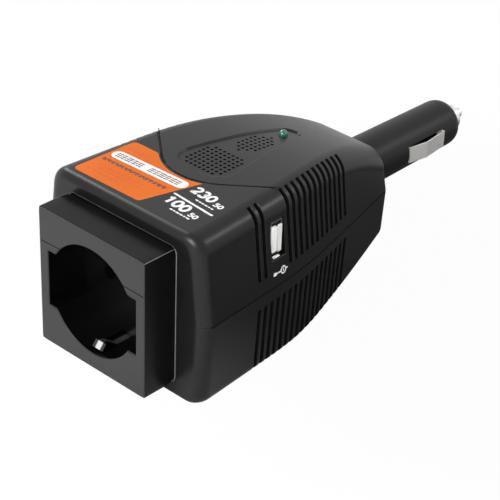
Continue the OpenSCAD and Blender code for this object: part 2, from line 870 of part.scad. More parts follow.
module fan_rotor() color([0.18, 0.18, 0.18]) placed() translate([0, fan_station, fan_top - fan_h]) {
    difference() {
        union() {
            translate([0, 0, 1.4])
                cylinder(h = 5, r = 5.4);
            for (a = [0:360 / 7:359])
                intersection() {
                    rotate([0, 0, a])
                        translate([8, 0, 3.9])
                            rotate([38, 0, 0])
                                cube([7, 7, 0.7], center = true);
                    translate([0, 0, 1.6])
                        cylinder(h = 4.6, r = 11.1);
                }
        }
        translate([0, 0, 1])
            cylinder(h = 4.8, r = 0.85, $fn = 24);
    }
}

// ---- fasteners and leads ----

module pan_screw(head_r, head_h, shank_r, length) {
    difference() {
        cylinder(h = head_h, r = head_r);
        for (a = [0, 90])
            rotate(a)
                translate([-head_r * 0.6, -0.35, -1])
                    cube([head_r * 1.2, 0.7, 1.8]);
    }
    translate([0, 0, head_h - eps])
        cylinder(h = length, r = shank_r);
}

module board_screws() color([0.7, 0.7, 0.72]) placed() both_sides()
    for (p = board_posts)
        translate([p[0], p[1], board_top + 1.8])
            mirror([0, 0, 1])
                pan_screw(2.6, 1.8, 1.1, 6.4);

module housing_screws() color([0.25, 0.25, 0.26]) placed() both_sides()
    for (p = [boss_front, boss_rear])
        translate([p[0], p[1], 8 - bottom_z(p[1]) - 2])
            pan_screw(2.8, 2, 1.3, bottom_z(p[1]) + 1);

// Insulated leads, each from a terminal down to the board
lead_up = [1, 0, 0];
module dc_lead_positive() color([0.7, 0.1, 0.1]) placed()
    wire([[0, 106, 0], [0, 104.4, 0], [0.2, 102.6, -0.8], [1, 100, -4], [3, 97.5, -9],
        [4, 95.8, -13], [4, 95.5, -15.5], [4, 95.5, board_top]], 1.2, 8, lead_up);
module dc_lead_negative() color([0.1, 0.1, 0.1]) placed()
    wire([[0, 122.5, -6.4], [0, 106, -6.4], [-0.3, 104.2, -6.6], [-2, 101, -8.5],
        [-4, 97.5, -12], [-5, 95.8, -14.2], [-5, 95.5, -15.8], [-5, 95.5, board_top]], 1.15, 8,
        lead_up);
ac_tab = plate_back + sleeve_len + 5;
module ac_lead(x, down_x) {
    wire([[x, ac_tab, -block_drop], [x, ac_tab + 1.2, -block_drop],
        [x + (down_x - x) * 0.1, ac_tab + 2.6, -1.6], [x + (down_x - x) * 0.5, ac_tab + 3.8, -5],
        [down_x, ac_tab + 4, -9], [down_x, ac_tab + 4, -14], [down_x, ac_tab + 4, board_top]],
        0.9, 8, [1, 0, 0]);
}
module ac_lead_line() color([0.45, 0.25, 0.1]) placed() ac_lead(pin_spacing / 2, 18);
module ac_lead_neutral() color([0.1, 0.25, 0.6]) placed() ac_lead(-pin_spacing / 2, -1);

lower_housing();
upper_housing();
socket_block();
contact_carrier();
line_contact();
neutral_contact();
earth_strap();
earth_clip_top();
earth_clip_bottom();
plug_barrel();
nose_cap();
nose_washer();
tip_contact();
fuse_glass();
fuse_caps();
fuse_wire();
plug_spring();
fuse_base();
side_contact_right();
side_contact_left();
circuit_board();
transformer_core();
transformer_coil();
storage_capacitor();
input_capacitors();
output_choke();
power_transistors();
heatsink();
buzzer();
usb_shell();
usb_tongue();
usb_board();
status_led();
led_leads();
fan_frame();
fan_rotor();
board_screws();
housing_screws();
dc_lead_positive();
dc_lead_negative();
ac_lead_line();
ac_lead_neutral();
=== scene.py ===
"""Looks for the plug-in power inverter: detailed shells, socket, plug, port and print round the CAD
frame. Lengths are millimetres in station coordinates: x to the right, station back from the
housing's front face, height over the plug's axis. mesh_from_arrays turns them into metres."""

import math

import bmesh
import bpy
import numpy as np
from mathutils import Matrix, Vector


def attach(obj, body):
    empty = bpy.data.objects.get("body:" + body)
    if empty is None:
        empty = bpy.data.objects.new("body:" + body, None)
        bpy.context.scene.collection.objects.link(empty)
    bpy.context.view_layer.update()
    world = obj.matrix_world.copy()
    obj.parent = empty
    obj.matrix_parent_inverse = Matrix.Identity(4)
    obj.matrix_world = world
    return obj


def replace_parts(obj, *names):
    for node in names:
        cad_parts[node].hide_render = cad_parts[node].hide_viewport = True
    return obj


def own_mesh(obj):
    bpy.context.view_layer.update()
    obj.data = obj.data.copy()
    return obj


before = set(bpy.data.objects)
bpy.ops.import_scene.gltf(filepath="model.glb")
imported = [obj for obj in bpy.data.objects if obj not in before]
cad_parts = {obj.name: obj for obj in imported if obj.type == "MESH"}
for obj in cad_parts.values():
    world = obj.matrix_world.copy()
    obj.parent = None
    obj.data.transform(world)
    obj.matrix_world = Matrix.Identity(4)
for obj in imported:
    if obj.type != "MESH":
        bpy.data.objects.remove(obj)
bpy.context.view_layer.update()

MM = 0.001
FRONT_Y = -87.1      # the housing's front face, in millimetres along Y
AXIS_Z = 32.7        # height of the plug's axis
BODY_LEN = 117.0     # housing, front face to rear face
WALL = 2.2


def smooth(t):
    """Smoothstep: three t squared minus two t cubed, held between 0 and 1."""
    t = np.clip(t, 0.0, 1.0)
    return t * t * (3.0 - 2.0 * t)


def lerp(a, b, t):
    """The point that lies a share t of the way from a to b."""
    return a + (b - a) * t


# ---------------------------------------------------------------- mesh helpers

def mesh_from_arrays(name, points, quads, materials, face_material=None, sharp=None):
    """Mesh from an (n, 3) array in station millimetres (x, station, height over the plug axis)
    and an (m, 4) array of corners. Millimetres become metres in the row frame."""
    world = np.empty((len(points), 3))
    world[:, 0] = points[:, 0]
    world[:, 1] = points[:, 1] + FRONT_Y
    world[:, 2] = points[:, 2] + AXIS_Z
    world *= MM
    mesh = bpy.data.meshes.new(name)
    mesh.from_pydata(world.tolist(), [], [tuple(q) for q in quads.tolist()])
    mesh.validate()
    for m in materials:
        mesh.materials.append(m)
    if face_material is not None and len(face_material) == len(mesh.polygons):
        mesh.polygons.foreach_set("material_index", np.asarray(face_material, np.int32))
    mesh.polygons.foreach_set("use_smooth", np.ones(len(mesh.polygons), bool))
    mesh.update()
    obj = bpy.data.objects.new(name, mesh)
    bpy.context.scene.collection.objects.link(obj)
    if sharp is not None:
        mesh.set_sharp_from_angle(angle=math.radians(sharp))
    return obj


def grid_quads(rows, cols, wrap_cols=False, flip=False, wrap_rows=False):
    """Corner indices of every cell of a rows by cols grid; either way may close on itself."""
    r = np.arange(rows if wrap_rows else rows - 1)[:, None]
    c = np.arange(cols if wrap_cols else cols - 1)[None, :]
    below, beside = (r + 1) % rows * cols, (c + 1) % cols
    quads = np.stack([r * cols + c, r * cols + beside, below + beside, below + c], -1).reshape(-1, 4)
    return quads[:, ::-1] if flip else quads


def join_parts(parts):
    """Stacks (points, quads) pairs into one pair."""
    points, quads, base = [], [], 0
    for p, q in parts:
        points.append(p)
        quads.append(q + base)
        base += len(p)
    return np.concatenate(points), np.concatenate(quads)


def faces_outward(obj):
    """Turns every face of a closed piece the same, outward way round."""
    work = bmesh.new()
    work.from_mesh(obj.data)
    bmesh.ops.recalc_face_normals(work, faces=work.faces)
    work.to_mesh(obj.data)
    work.free()


# ---------------------------------------------------------------- materials

CLOUD_SCALE = 35.0       # of the noise that mixes a finish's two colours, per metre
GRAIN_HEIGHT = 0.0002


def new_material(name):
    """A node material, its tree and its surface shader."""
    material = bpy.data.materials.new(name)
    material.use_nodes = True
    tree = material.node_tree
    shader = next(n for n in tree.nodes if n.type == "BSDF_PRINCIPLED")
    return material, tree, shader


def feed(tree, node, **inputs):
    """Sets inputs of a node to values or joins them to other nodes' outputs. From_Min stands for
    the input called From Min."""
    for name, value in inputs.items():
        socket = node.inputs[name.replace("_", " ")]
        if isinstance(value, bpy.types.NodeSocket):
            tree.links.new(value, socket)
        else:
            socket.default_value = value
    return node


def new_node(tree, kind, **inputs):
    """A new node of a tree with its inputs fed."""
    return feed(tree, tree.nodes.new("ShaderNode" + kind), **inputs)


def noise(tree, **inputs):
    """The level of a noise over the object's own coordinates."""
    where = next((n for n in tree.nodes if n.bl_idname == "ShaderNodeTexCoord"), None)
    where = where or tree.nodes.new("ShaderNodeTexCoord")
    return new_node(tree, "TexNoise", Vector=where.outputs["Object"], **inputs).outputs["Fac"]


def colour_ramp(tree, level, positions, colours):
    """A ramp between two colours that follows a level."""
    ramp = new_node(tree, "ValToRGB", Fac=level)
    for element, position, colour in zip(ramp.color_ramp.elements, positions, colours):
        element.position = position
        element.color = (*colour, 1)
    return ramp.outputs["Color"]


def grey(level):
    """A neutral colour of one level."""
    return (level, level, level)


def moulded(name, dark, light, roughness, grain=900.0, bump=0.12, rough_spread=0.06, specular=0.5,
            metallic=0.0):
    """Moulded plastic or plated metal: a cloudy mix of two close colours, a fine grain in the bump
    and a slow drift in the roughness."""
    material, tree, shader = new_material(name)
    clouds = noise(tree, Scale=CLOUD_SCALE, Detail=4.0)
    drift = new_node(tree, "MapRange", Value=clouds, To_Min=roughness - rough_spread,
                     To_Max=roughness + rough_spread)
    relief = new_node(tree, "Bump", Height=noise(tree, Scale=grain, Detail=2.0), Strength=bump,
                      Distance=GRAIN_HEIGHT)
    feed(tree, shader, Base_Color=colour_ramp(tree, clouds, (0.3, 0.7), (dark, light)),
         Roughness=drift.outputs["Result"], Metallic=metallic, Specular_IOR_Level=specular,
         Normal=relief.outputs["Normal"])
    return material


def paint_highlight_strip(material, colour, inner, outer):
    """Paints a highlight into a finish along the middle plane: full colour inside |x| = inner metres,
    none past outer."""
    tree = material.node_tree
    shader = next(n for n in tree.nodes if n.type == "BSDF_PRINCIPLED")
    base = shader.inputs["Base Color"].links[0].from_socket
    where = new_node(tree, "TexCoord")
    split = new_node(tree, "SeparateXYZ", Vector=where.outputs["Object"])
    size = tree.nodes.new("ShaderNodeMath")
    size.operation = "ABSOLUTE"
    tree.links.new(split.outputs["X"], size.inputs[0])
    edge = new_node(tree, "MapRange", Value=size.outputs["Value"], From_Min=inner, From_Max=outer,
                    To_Min=1.0, To_Max=0.0)
    mix = tree.nodes.new("ShaderNodeMix")
    mix.data_type = "RGBA"
    # The mix node has its inputs once per data type: 6, 7 and output 2 are the colours
    tree.links.new(edge.outputs["Result"], mix.inputs[0])
    tree.links.new(base, mix.inputs[6])
    mix.inputs[7].default_value = (*colour, 1)
    feed(tree, shader, Base_Color=mix.outputs[2])


# Two colours, roughness, scale of the grain, bump, spread of the roughness, specular level, metallic
shell_black = moulded("shell_black", (0.005, 0.005, 0.0049), (0.0072, 0.007, 0.0069),
                      0.33, 1400, 0.1, 0.05, 0.27)
# Glossy beads along the socket's edges; their lighter grey is a painted highlight
bead_painted_highlight = moulded("bead_painted_highlight", grey(0.1), grey(0.13), 0.22, 900, 0.02, 0.04, 0.6)
# Darker matte black: painted shade along the split line and the chevron line
painted_shade_black = moulded("painted_shade_black", grey(0.004), grey(0.006), 0.85, 900, 0.05, 0.05, 0.1)
# Glossy finish for grooves, holes and the port's back; its darker black is painted shade
hollow_painted_shade = moulded("hollow_painted_shade", grey(0.0012), grey(0.002), 0.18, 900, 0.02, 0.03, 0.22)
socket_black = moulded("socket_black", (0.01, 0.01, 0.0103), (0.014, 0.014, 0.0143),
                       0.42, 1400, 0.1, 0.05, 0.42)
# The block's glossy sides, darker than its face: painted shade
socket_side_painted_shade = moulded("socket_side_painted_shade", grey(0.0028), grey(0.0042), 0.24, 1400, 0.05, 0.05, 0.13)
# Darker than the face: painted shade inside the socket's recess
socket_recess_painted_shade = moulded("socket_recess_painted_shade", grey(0.0014), grey(0.0022), 0.24, 900, 0.04, 0.04, 0.28)
plug_black = moulded("plug_black", (0.006, 0.0055, 0.0058), (0.0085, 0.0078, 0.0082),
                     0.42, 1100, 0.06, 0.05, 0.22)
bright_plate = moulded("bright_plate", (0.72, 0.69, 0.64), (0.8, 0.78, 0.74),
                       0.24, 700, 0.05, 0.05, 0.5, 1)
spring_plate = moulded("spring_plate", (0.8, 0.78, 0.74), (0.88, 0.87, 0.84),
                       0.34, 500, 0.06, 0.06, 0.5, 0.55)
# The earth clips' metal is darkened to paint their shade in the recess, with a painted highlight along
# the middle
clip_shade_and_highlight = moulded("clip_shade_and_highlight", (0.045, 0.044, 0.042), (0.06, 0.058, 0.055),
                     0.3, 500, 0.06, 0.05, 0.5, 1)
paint_highlight_strip(clip_shade_and_highlight, (0.75, 0.74, 0.72), 0.0009, 0.0014)
brass = moulded("contact_brass", (0.58, 0.42, 0.18), (0.68, 0.52, 0.26), 0.3, 500, 0.05, 0.05, 0.5, 1)
steel = moulded("screw_steel", (0.3, 0.3, 0.31), (0.4, 0.4, 0.41), 0.35, 500, 0.08, 0.05, 0.5, 1)
aluminium = moulded("fin_aluminium", (0.62, 0.63, 0.65), (0.7, 0.71, 0.73), 0.4, 300, 0.08, 0.05, 0.5, 1)
port_bright = moulded("port_bright", (0.9, 0.9, 0.89), (0.94, 0.94, 0.93), 0.35, 600, 0.03)
port_white = moulded("port_white", (0.78, 0.77, 0.74), (0.86, 0.85, 0.83), 0.38, 600, 0.04)
board_green = moulded("board_green", (0.02, 0.12, 0.05), (0.03, 0.16, 0.07), 0.35, 200, 0.08)
ferrite_grey = moulded("ferrite_grey", (0.02, 0.02, 0.022), (0.03, 0.03, 0.032), 0.7, 900, 0.2)
tape_yellow = moulded("tape_yellow", (0.5, 0.34, 0.04), (0.6, 0.42, 0.06), 0.35, 300, 0.05)
sleeve_blue = moulded("sleeve_blue", (0.008, 0.014, 0.06), (0.012, 0.02, 0.08), 0.3, 300, 0.04)
copper = moulded("wire_copper", (0.45, 0.16, 0.06), (0.55, 0.22, 0.09), 0.3, 400, 0.1, 0.05, 0.5, 0.6)
epoxy_black = moulded("epoxy_black", grey(0.01), grey(0.016), 0.55, 900, 0.12)
inner_black = moulded("inner_black", grey(0.006), grey(0.01), 0.5, 900, 0.08)
lead_red = moulded("lead_red", (0.35, 0.01, 0.01), (0.42, 0.015, 0.012), 0.35, 300, 0.03)
lead_black = moulded("lead_black", grey(0.01), grey(0.014), 0.35, 300, 0.03)
lead_brown = moulded("lead_brown", (0.1, 0.035, 0.015), (0.13, 0.045, 0.02), 0.35, 300, 0.03)
lead_blue = moulded("lead_blue", (0.01, 0.03, 0.22), (0.015, 0.04, 0.28), 0.35, 300, 0.03)
label_orange = moulded("label_orange", (0.66, 0.135, 0.012), (0.72, 0.155, 0.018),
                       0.45, 900, 0.03, 0.04, 0.12)
print_white = moulded("print_white", (0.8, 0.8, 0.79), (0.88, 0.88, 0.87), 0.45, 900, 0.02, 0.04)
print_rust = moulded("print_rust", (0.5, 0.07, 0.012), (0.56, 0.09, 0.016), 0.45, 900, 0.02, 0.04)
print_dark = moulded("print_dark", (0.05, 0.022, 0.012), (0.07, 0.03, 0.016), 0.45, 900, 0.02, 0.04)


def lamp_lens(name):
    """Tinted lens: green, glossy, a little glow inside."""
    material, tree, shader = new_material(name)
    tint = colour_ramp(tree, noise(tree, Scale=500.0), (0.0, 1.0),
                       ((0.002, 0.07, 0.035), (0.005, 0.14, 0.07)))
    feed(tree, shader, Base_Color=tint, Roughness=0.08, Coat_Weight=0.8,
         Emission_Color=(0.01, 0.30, 0.15, 1), Emission_Strength=0.03)
    return material


def clear_glass(name):
    """Clear glass whose roughness drifts a little."""
    material, tree, shader = new_material(name)
    drift = new_node(tree, "MapRange", Value=noise(tree, Scale=200.0), To_Min=0.02, To_Max=0.08)
    feed(tree, shader, Base_Color=(0.9, 0.95, 0.95, 1), Roughness=drift.outputs["Result"],
         Transmission_Weight=1.0)
    return material


lamp_green = lamp_lens("lamp_green")
fuse_clear = clear_glass("fuse_clear")

# ---------------------------------------------------------------- the housing's form

HALF_W, HALF_H = 40.2, 32.7
REAR_HALF_W, REAR_TOP, REAR_BOTTOM = 21.0, 15.3, 20.4
FRONT_TAPER, REAR_TAPER, PLAN_BLEND = 0.073, 0.2416, 2.6
TOP_SLOPE, TOP_LEVEL, TOP_FALL = 0.004, 35.0, 2.86
BOTTOM_LEVEL, BOTTOM_FALL = 52.4, 1.51
CORNER_R, TOP_ROUND_R, BOTTOM_ROUND_R, RIM_R = 4.8, 3.2, 0.8, 1.5
UPPER_DRAFT, LOWER_DRAFT = 0.098, 0.044
EDGE_TOP = (7.4, 8.4)
EDGE_BOTTOM = (4.4, 4.4)
SEAM = 0.35
GROOVE_PITCH, GROOVE_D = 3.43, 1.2
GROOVES = 29.2 + GROOVE_PITCH * np.arange(17)
GROOVE_HALF = (0.81, 0.88, 1.0)    # half widths: floor, edge of the opening, end of the round
GROOVE_UP = (5.47, 5.67)           # where the grooves start over the split line, above and below
OPEN_W, OPEN_H, DROP = 26.15, 27.15, 0.65
OPEN_CORNER = (3.0, 2.6)       # corner radius of the opening above and below
PORT_S, PORT_UP = 39.8, 17.4
PORT_HALF_S, PORT_HALF_UP = 3.8, 7.25
SCREWS = ((28.5, 9.5), (13.8, 104.0))
SCREW_HOLE_R, SCREW_HOLE_DEPTH = 3.0, 7.0
SCREW_RING = SCREW_HOLE_R * np.array([-1.12, -1, -0.985, -0.6, 0, 0.6, 0.985, 1, 1.12])


def side_x(s):
    """Half width at the split line: smooth minimum of a nearly straight run and a steep one."""
    a = HALF_W - FRONT_TAPER * s
    b = REAR_HALF_W + REAR_TAPER * (BODY_LEN - s)
    h = np.clip(0.5 + 0.5 * (b - a) / PLAN_BLEND, 0, 1)
    return b * (1 - h) + a * h - PLAN_BLEND * h * (1 - h)


def top_z(s):
    """Height of the roof over the axis: level, then falling away by a power of the distance."""
    fall = np.clip((s - TOP_LEVEL) / (BODY_LEN - TOP_LEVEL), 0, 1) ** TOP_FALL
    return HALF_H - TOP_SLOPE * s - (HALF_H - TOP_SLOPE * BODY_LEN - REAR_TOP) * fall


def bottom_z(s):
    """Depth of the underside below the axis, level and then rising in the same way as the roof."""
    fall = np.clip((s - BOTTOM_LEVEL) / (BODY_LEN - BOTTOM_LEVEL), 0, 1) ** BOTTOM_FALL
    return HALF_H - (HALF_H - REAR_BOTTOM) * fall


def end_pull(r, s):
    """How far a rounding of radius r at the front, and the rim rounding at the rear, draw a side in."""
    front = np.where(s < r, r - np.sqrt(np.clip(r * r - (r - s) ** 2, 0, None)), 0.0)
    d = np.clip(s - (BODY_LEN - RIM_R), 0, RIM_R)
    return front + RIM_R - np.sqrt(np.clip(RIM_R * RIM_R - d * d, 0, None))


def edge_radius(s, pair):
    """Radius of the long edge: from the first of the pair to the second by the distance cubed."""
    return pair[0] + (pair[1] - pair[0]) * (np.clip(s, 0, BODY_LEN) / BODY_LEN) ** 3


# ---------------------------------------------------------------- housing shells

VENT_PITCH, VENT_R, VENT_DEPTH = 2.06, 0.64, 1.6
ROW_STEP = 0.2625              # rows across the vent area, eight to the first field's hole pitch
COL_STEP = VENT_PITCH / 8
ROWS_FROM = 36.95 - 38 * ROW_STEP
ROWS = 241
CENTRE_COLS = 54
LED_S, LED_HOLE_R = 80.2, 1.72
VENT_ROWS = ([(36.95 + 2.1 * j, n) for j, n in enumerate((7, 9, 9, 9, 9, 9, 9, 7))]
             + [(56.7 + 2.15 * j, n) for j, n in enumerate((1, 3, 5, 5, 5, 5, 5, 3, 1))])
SEAM_LINE, WALL_LINE, EDGE_ARC, SHOULDER, CENTRE = range(5)
SUNK_DEPTH, LINE_DEPTH, JAMB_DEPTH = 0.6, 0.45, 1.9        # vent area, chevron line, port's edge
NOSE_R, NOSE_S, FLANK = 22.5, 50.1, math.radians(40.5)     # the line's arc, its centre, its flanks' turn
BUNDLE = np.array([1.2, 0.62, 0.31, 0.0, -0.31, -0.62, -1.2])
# The teardrop: widest half width and its station, length of its front, power, taper of its flanks
# and that angle's cosine, station and radius of its rear circle
TEAR_HALF, TEAR_S, TEAR_FRONT, TEAR_POWER = 12.05, 43.0, 9.2, 2.6
TEAR_TAPER, TEAR_COS, TEAR_END_S, TEAR_END_R = 0.193, 0.9819, 83.0, 4.25


def teardrop_edge(x, s):
    """Distance inside the teardrop: a superellipse in front, straight flanks that close in, and a
    circle round the lamp."""
    x = np.abs(x)
    a = np.clip((TEAR_S - s) / TEAR_FRONT, 0, None)
    b = x / TEAR_HALF
    g = (a ** TEAR_POWER + b ** TEAR_POWER) ** (1 / TEAR_POWER) + 1e-9
    slope = np.hypot((a / g) ** (TEAR_POWER - 1) / TEAR_FRONT, (b / g) ** (TEAR_POWER - 1) / TEAR_HALF)
    front = (1 - g) / np.maximum(slope, 1e-12)
    flank = (TEAR_HALF - TEAR_TAPER * (s - TEAR_S) - x) * TEAR_COS
    rear = TEAR_END_R - np.hypot(x, s - TEAR_END_S)
    return np.where(s < TEAR_S, front, np.where(s - TEAR_END_S > TEAR_TAPER * x, rear, flank))


def chevron_away(x, s):
    """Distance from the line that ends the label area: an arc of radius NOSE_R with straight flanks."""
    x = np.abs(x)
    nose = np.abs(np.hypot(x, NOSE_S - s) - NOSE_R)
    knee_x, knee_s = NOSE_R * math.sin(FLANK), NOSE_S - NOSE_R * math.cos(FLANK)
    flank = np.abs((s - knee_s) * math.cos(FLANK) - (x - knee_x) * math.sin(FLANK))
    return np.where(x < np.tan(FLANK) * (NOSE_S - s), nose, flank)


def chevron_x(s):
    """Half width of the line's flanks at a station."""
    return NOSE_R * math.sin(FLANK) + (s - NOSE_S + NOSE_R * math.cos(FLANK)) / math.tan(FLANK)


def shoulder_x(i, s, flat, inner):
    """Columns between the roof's edge and its dense middle. Seven of them follow the chevron line."""
    line = np.clip(chevron_x(s), inner + 1.8, flat - 1.6)
    outer = lerp(flat, line + 1.2, i / 3)
    near = line + BUNDLE[np.clip(i - 3, 0, 6).astype(int)]
    return np.where(i <= 3, outer, np.where(i <= 9, near, lerp(line - 1.2, inner, (i - 9) / 4)))


def groove_map(skip, port):
    """Stations of the uniform rows on one side, moved so that each groove's edges lie on rows."""
    knots, stations = [0], [ROWS_FROM]
    for k, g in enumerate(GROOVES):
        if k in skip:
            continue
        first = int(round((g - 0.92 - ROWS_FROM) / ROW_STEP))
        for i, ds in enumerate([-q for q in GROOVE_HALF[::-1]] + [-0.3, 0.3] + list(GROOVE_HALF)):
            knots.append(first + i)
            stations.append(g + ds)
    if port:
        for edge, out in ((PORT_S - PORT_HALF_S, -1), (PORT_S + PORT_HALF_S, 1)):
            i = int(round((edge - ROWS_FROM) / ROW_STEP))
            for step, ds in ((2, 0.16), (1, 0.06), (0, 0.0), (-1, -0.02)):
                knots.append(i + out * step)
                stations.append(edge + out * ds)
    knots.append(ROWS - 1)
    stations.append(ROWS_FROM + (ROWS - 1) * ROW_STEP)
    order = np.argsort(knots)
    return np.interp(np.arange(ROWS), np.array(knots)[order], np.array(stations)[order])


def groove_depth(s, skip):
    """Depth of the cooling grooves at a station: full inside a groove, a small round at its edges."""
    depth = np.zeros_like(s)
    across, levels = [0, GROOVE_HALF[0], GROOVE_HALF[1], 0.99], [GROOVE_D, GROOVE_D, 0.14, 0.0]
    for k, g in enumerate(GROOVES):
        if k not in skip:
            depth = np.maximum(depth, np.interp(np.abs(s - g), across, levels))
    return depth


def disc_move(u, v, inner):
    """Moves the square |u|, |v| <= 1 onto the unit disc by u times the root of 1 - v v / 2, and the
    same for v, and eases back to the square beyond it."""
    reach = np.maximum(np.abs(u), np.abs(v))
    inside = reach <= 1.0
    uc, vc = np.clip(u, -1, 1), np.clip(v, -1, 1)
    du = uc * np.sqrt(1 - vc * vc / 2)
    dv = vc * np.sqrt(1 - uc * uc / 2)
    ease = smooth((reach - 1.0) / inner)
    moved_u = np.where(inside, du, lerp(du + (u - uc), u, ease))
    moved_v = np.where(inside, dv, lerp(dv + (v - vc), v, ease))
    return moved_u, moved_v, reach


def column_table(upper):
    """Columns from the right split line over the half to the left split line, as (side, kind, value)."""
    reach = side_reach(PORT_S, upper)
    if upper:
        low = [2.0, 3.6, 5.25, 5.40, GROOVE_UP[0]]
        heights = [7.0, 8.5, 9.85, 10.02, 10.15, 10.22, 12, 14, 16, 18, 20, 22, 23.6, 24.52, 24.58,
                   24.65, 24.80]
        angles = [*range(0, 61, 6), 64.6, 66, 67, 69, 71.5, 74, 76.5, 79, 81.5, 84, 87]
        shoulder = list(range(13))
    else:
        low = [2.2, 4.0, 5.45, 5.60, GROOVE_UP[1]]
        heights = list(range(7, 28, 2))
        angles = [*range(0, 81, 10), 87.5, 89.6]
        shoulder = [0.0, 0.006, 0.02, 0.04]
    split = low[-1]
    half = [(SEAM_LINE, 0.0), (WALL_LINE, SEAM)]
    half += [(WALL_LINE, v) for v in low]
    half += [(WALL_LINE, 100 + (h - split) / (reach - split)) for h in heights]
    half += [(EDGE_ARC, math.radians(a)) for a in angles]
    half += [(SHOULDER, v) for v in shoulder]
    if upper:
        centre = [(0, CENTRE, k * COL_STEP) for k in range(CENTRE_COLS, -CENTRE_COLS - 1, -1)]
    else:
        # The flat's half width at each pair of screws gives their columns as shares of it
        lines = np.concatenate([np.linspace(-0.88, 0.88, 23)]
                               + [m * (screw[0] + SCREW_RING) / half_flat
                                  for m in (-1, 1) for screw, half_flat in zip(SCREWS, (33.7, 18.6))])
        centre = [(0, CENTRE, float(v)) for v in np.unique(np.round(lines, 4))[::-1]]
    right = [(1, k, v) for k, v in half]
    left = [(-1, k, v) for k, v in reversed(half)]
    table = right + centre + left
    side, kind, value = zip(*table)
    return np.array(side), np.array(kind), np.array(value, float)


def side_reach(s, upper):
    """Height at which the side wall meets the edge arc."""
    s = np.asarray(s, float)
    if upper:
        return top_z(s) - end_pull(TOP_ROUND_R, s) - edge_radius(s, EDGE_TOP)
    return bottom_z(s) - end_pull(BOTTOM_ROUND_R, s) - edge_radius(s, EDGE_BOTTOM)


def shell_rows(upper):
    """Stations of the rows ahead of and behind the uniform ones; screw holes get rows of their own."""
    front = CORNER_R * (1 - np.cos(np.radians(np.linspace(0, 90, 15))))
    rim = BODY_LEN - RIM_R + RIM_R * np.sin(np.radians(np.linspace(0, 90, 9)))
    ahead = np.linspace(6.0, ROWS_FROM, 14)[:-1]
    behind = np.linspace(ROWS_FROM + (ROWS - 1) * ROW_STEP, BODY_LEN - RIM_R, 18)[1:-1]
    if not upper:
        ahead = np.unique(np.concatenate([ahead, SCREWS[0][1] + SCREW_RING]))
        behind = np.unique(np.concatenate([behind, SCREWS[1][1] + SCREW_RING]))
    return np.concatenate([front, ahead]), np.concatenate([behind, rim])


def full_rows(stations, cols):
    """Rows of one station each, the same across all columns."""
    return np.repeat(stations[:, None], cols, 1)


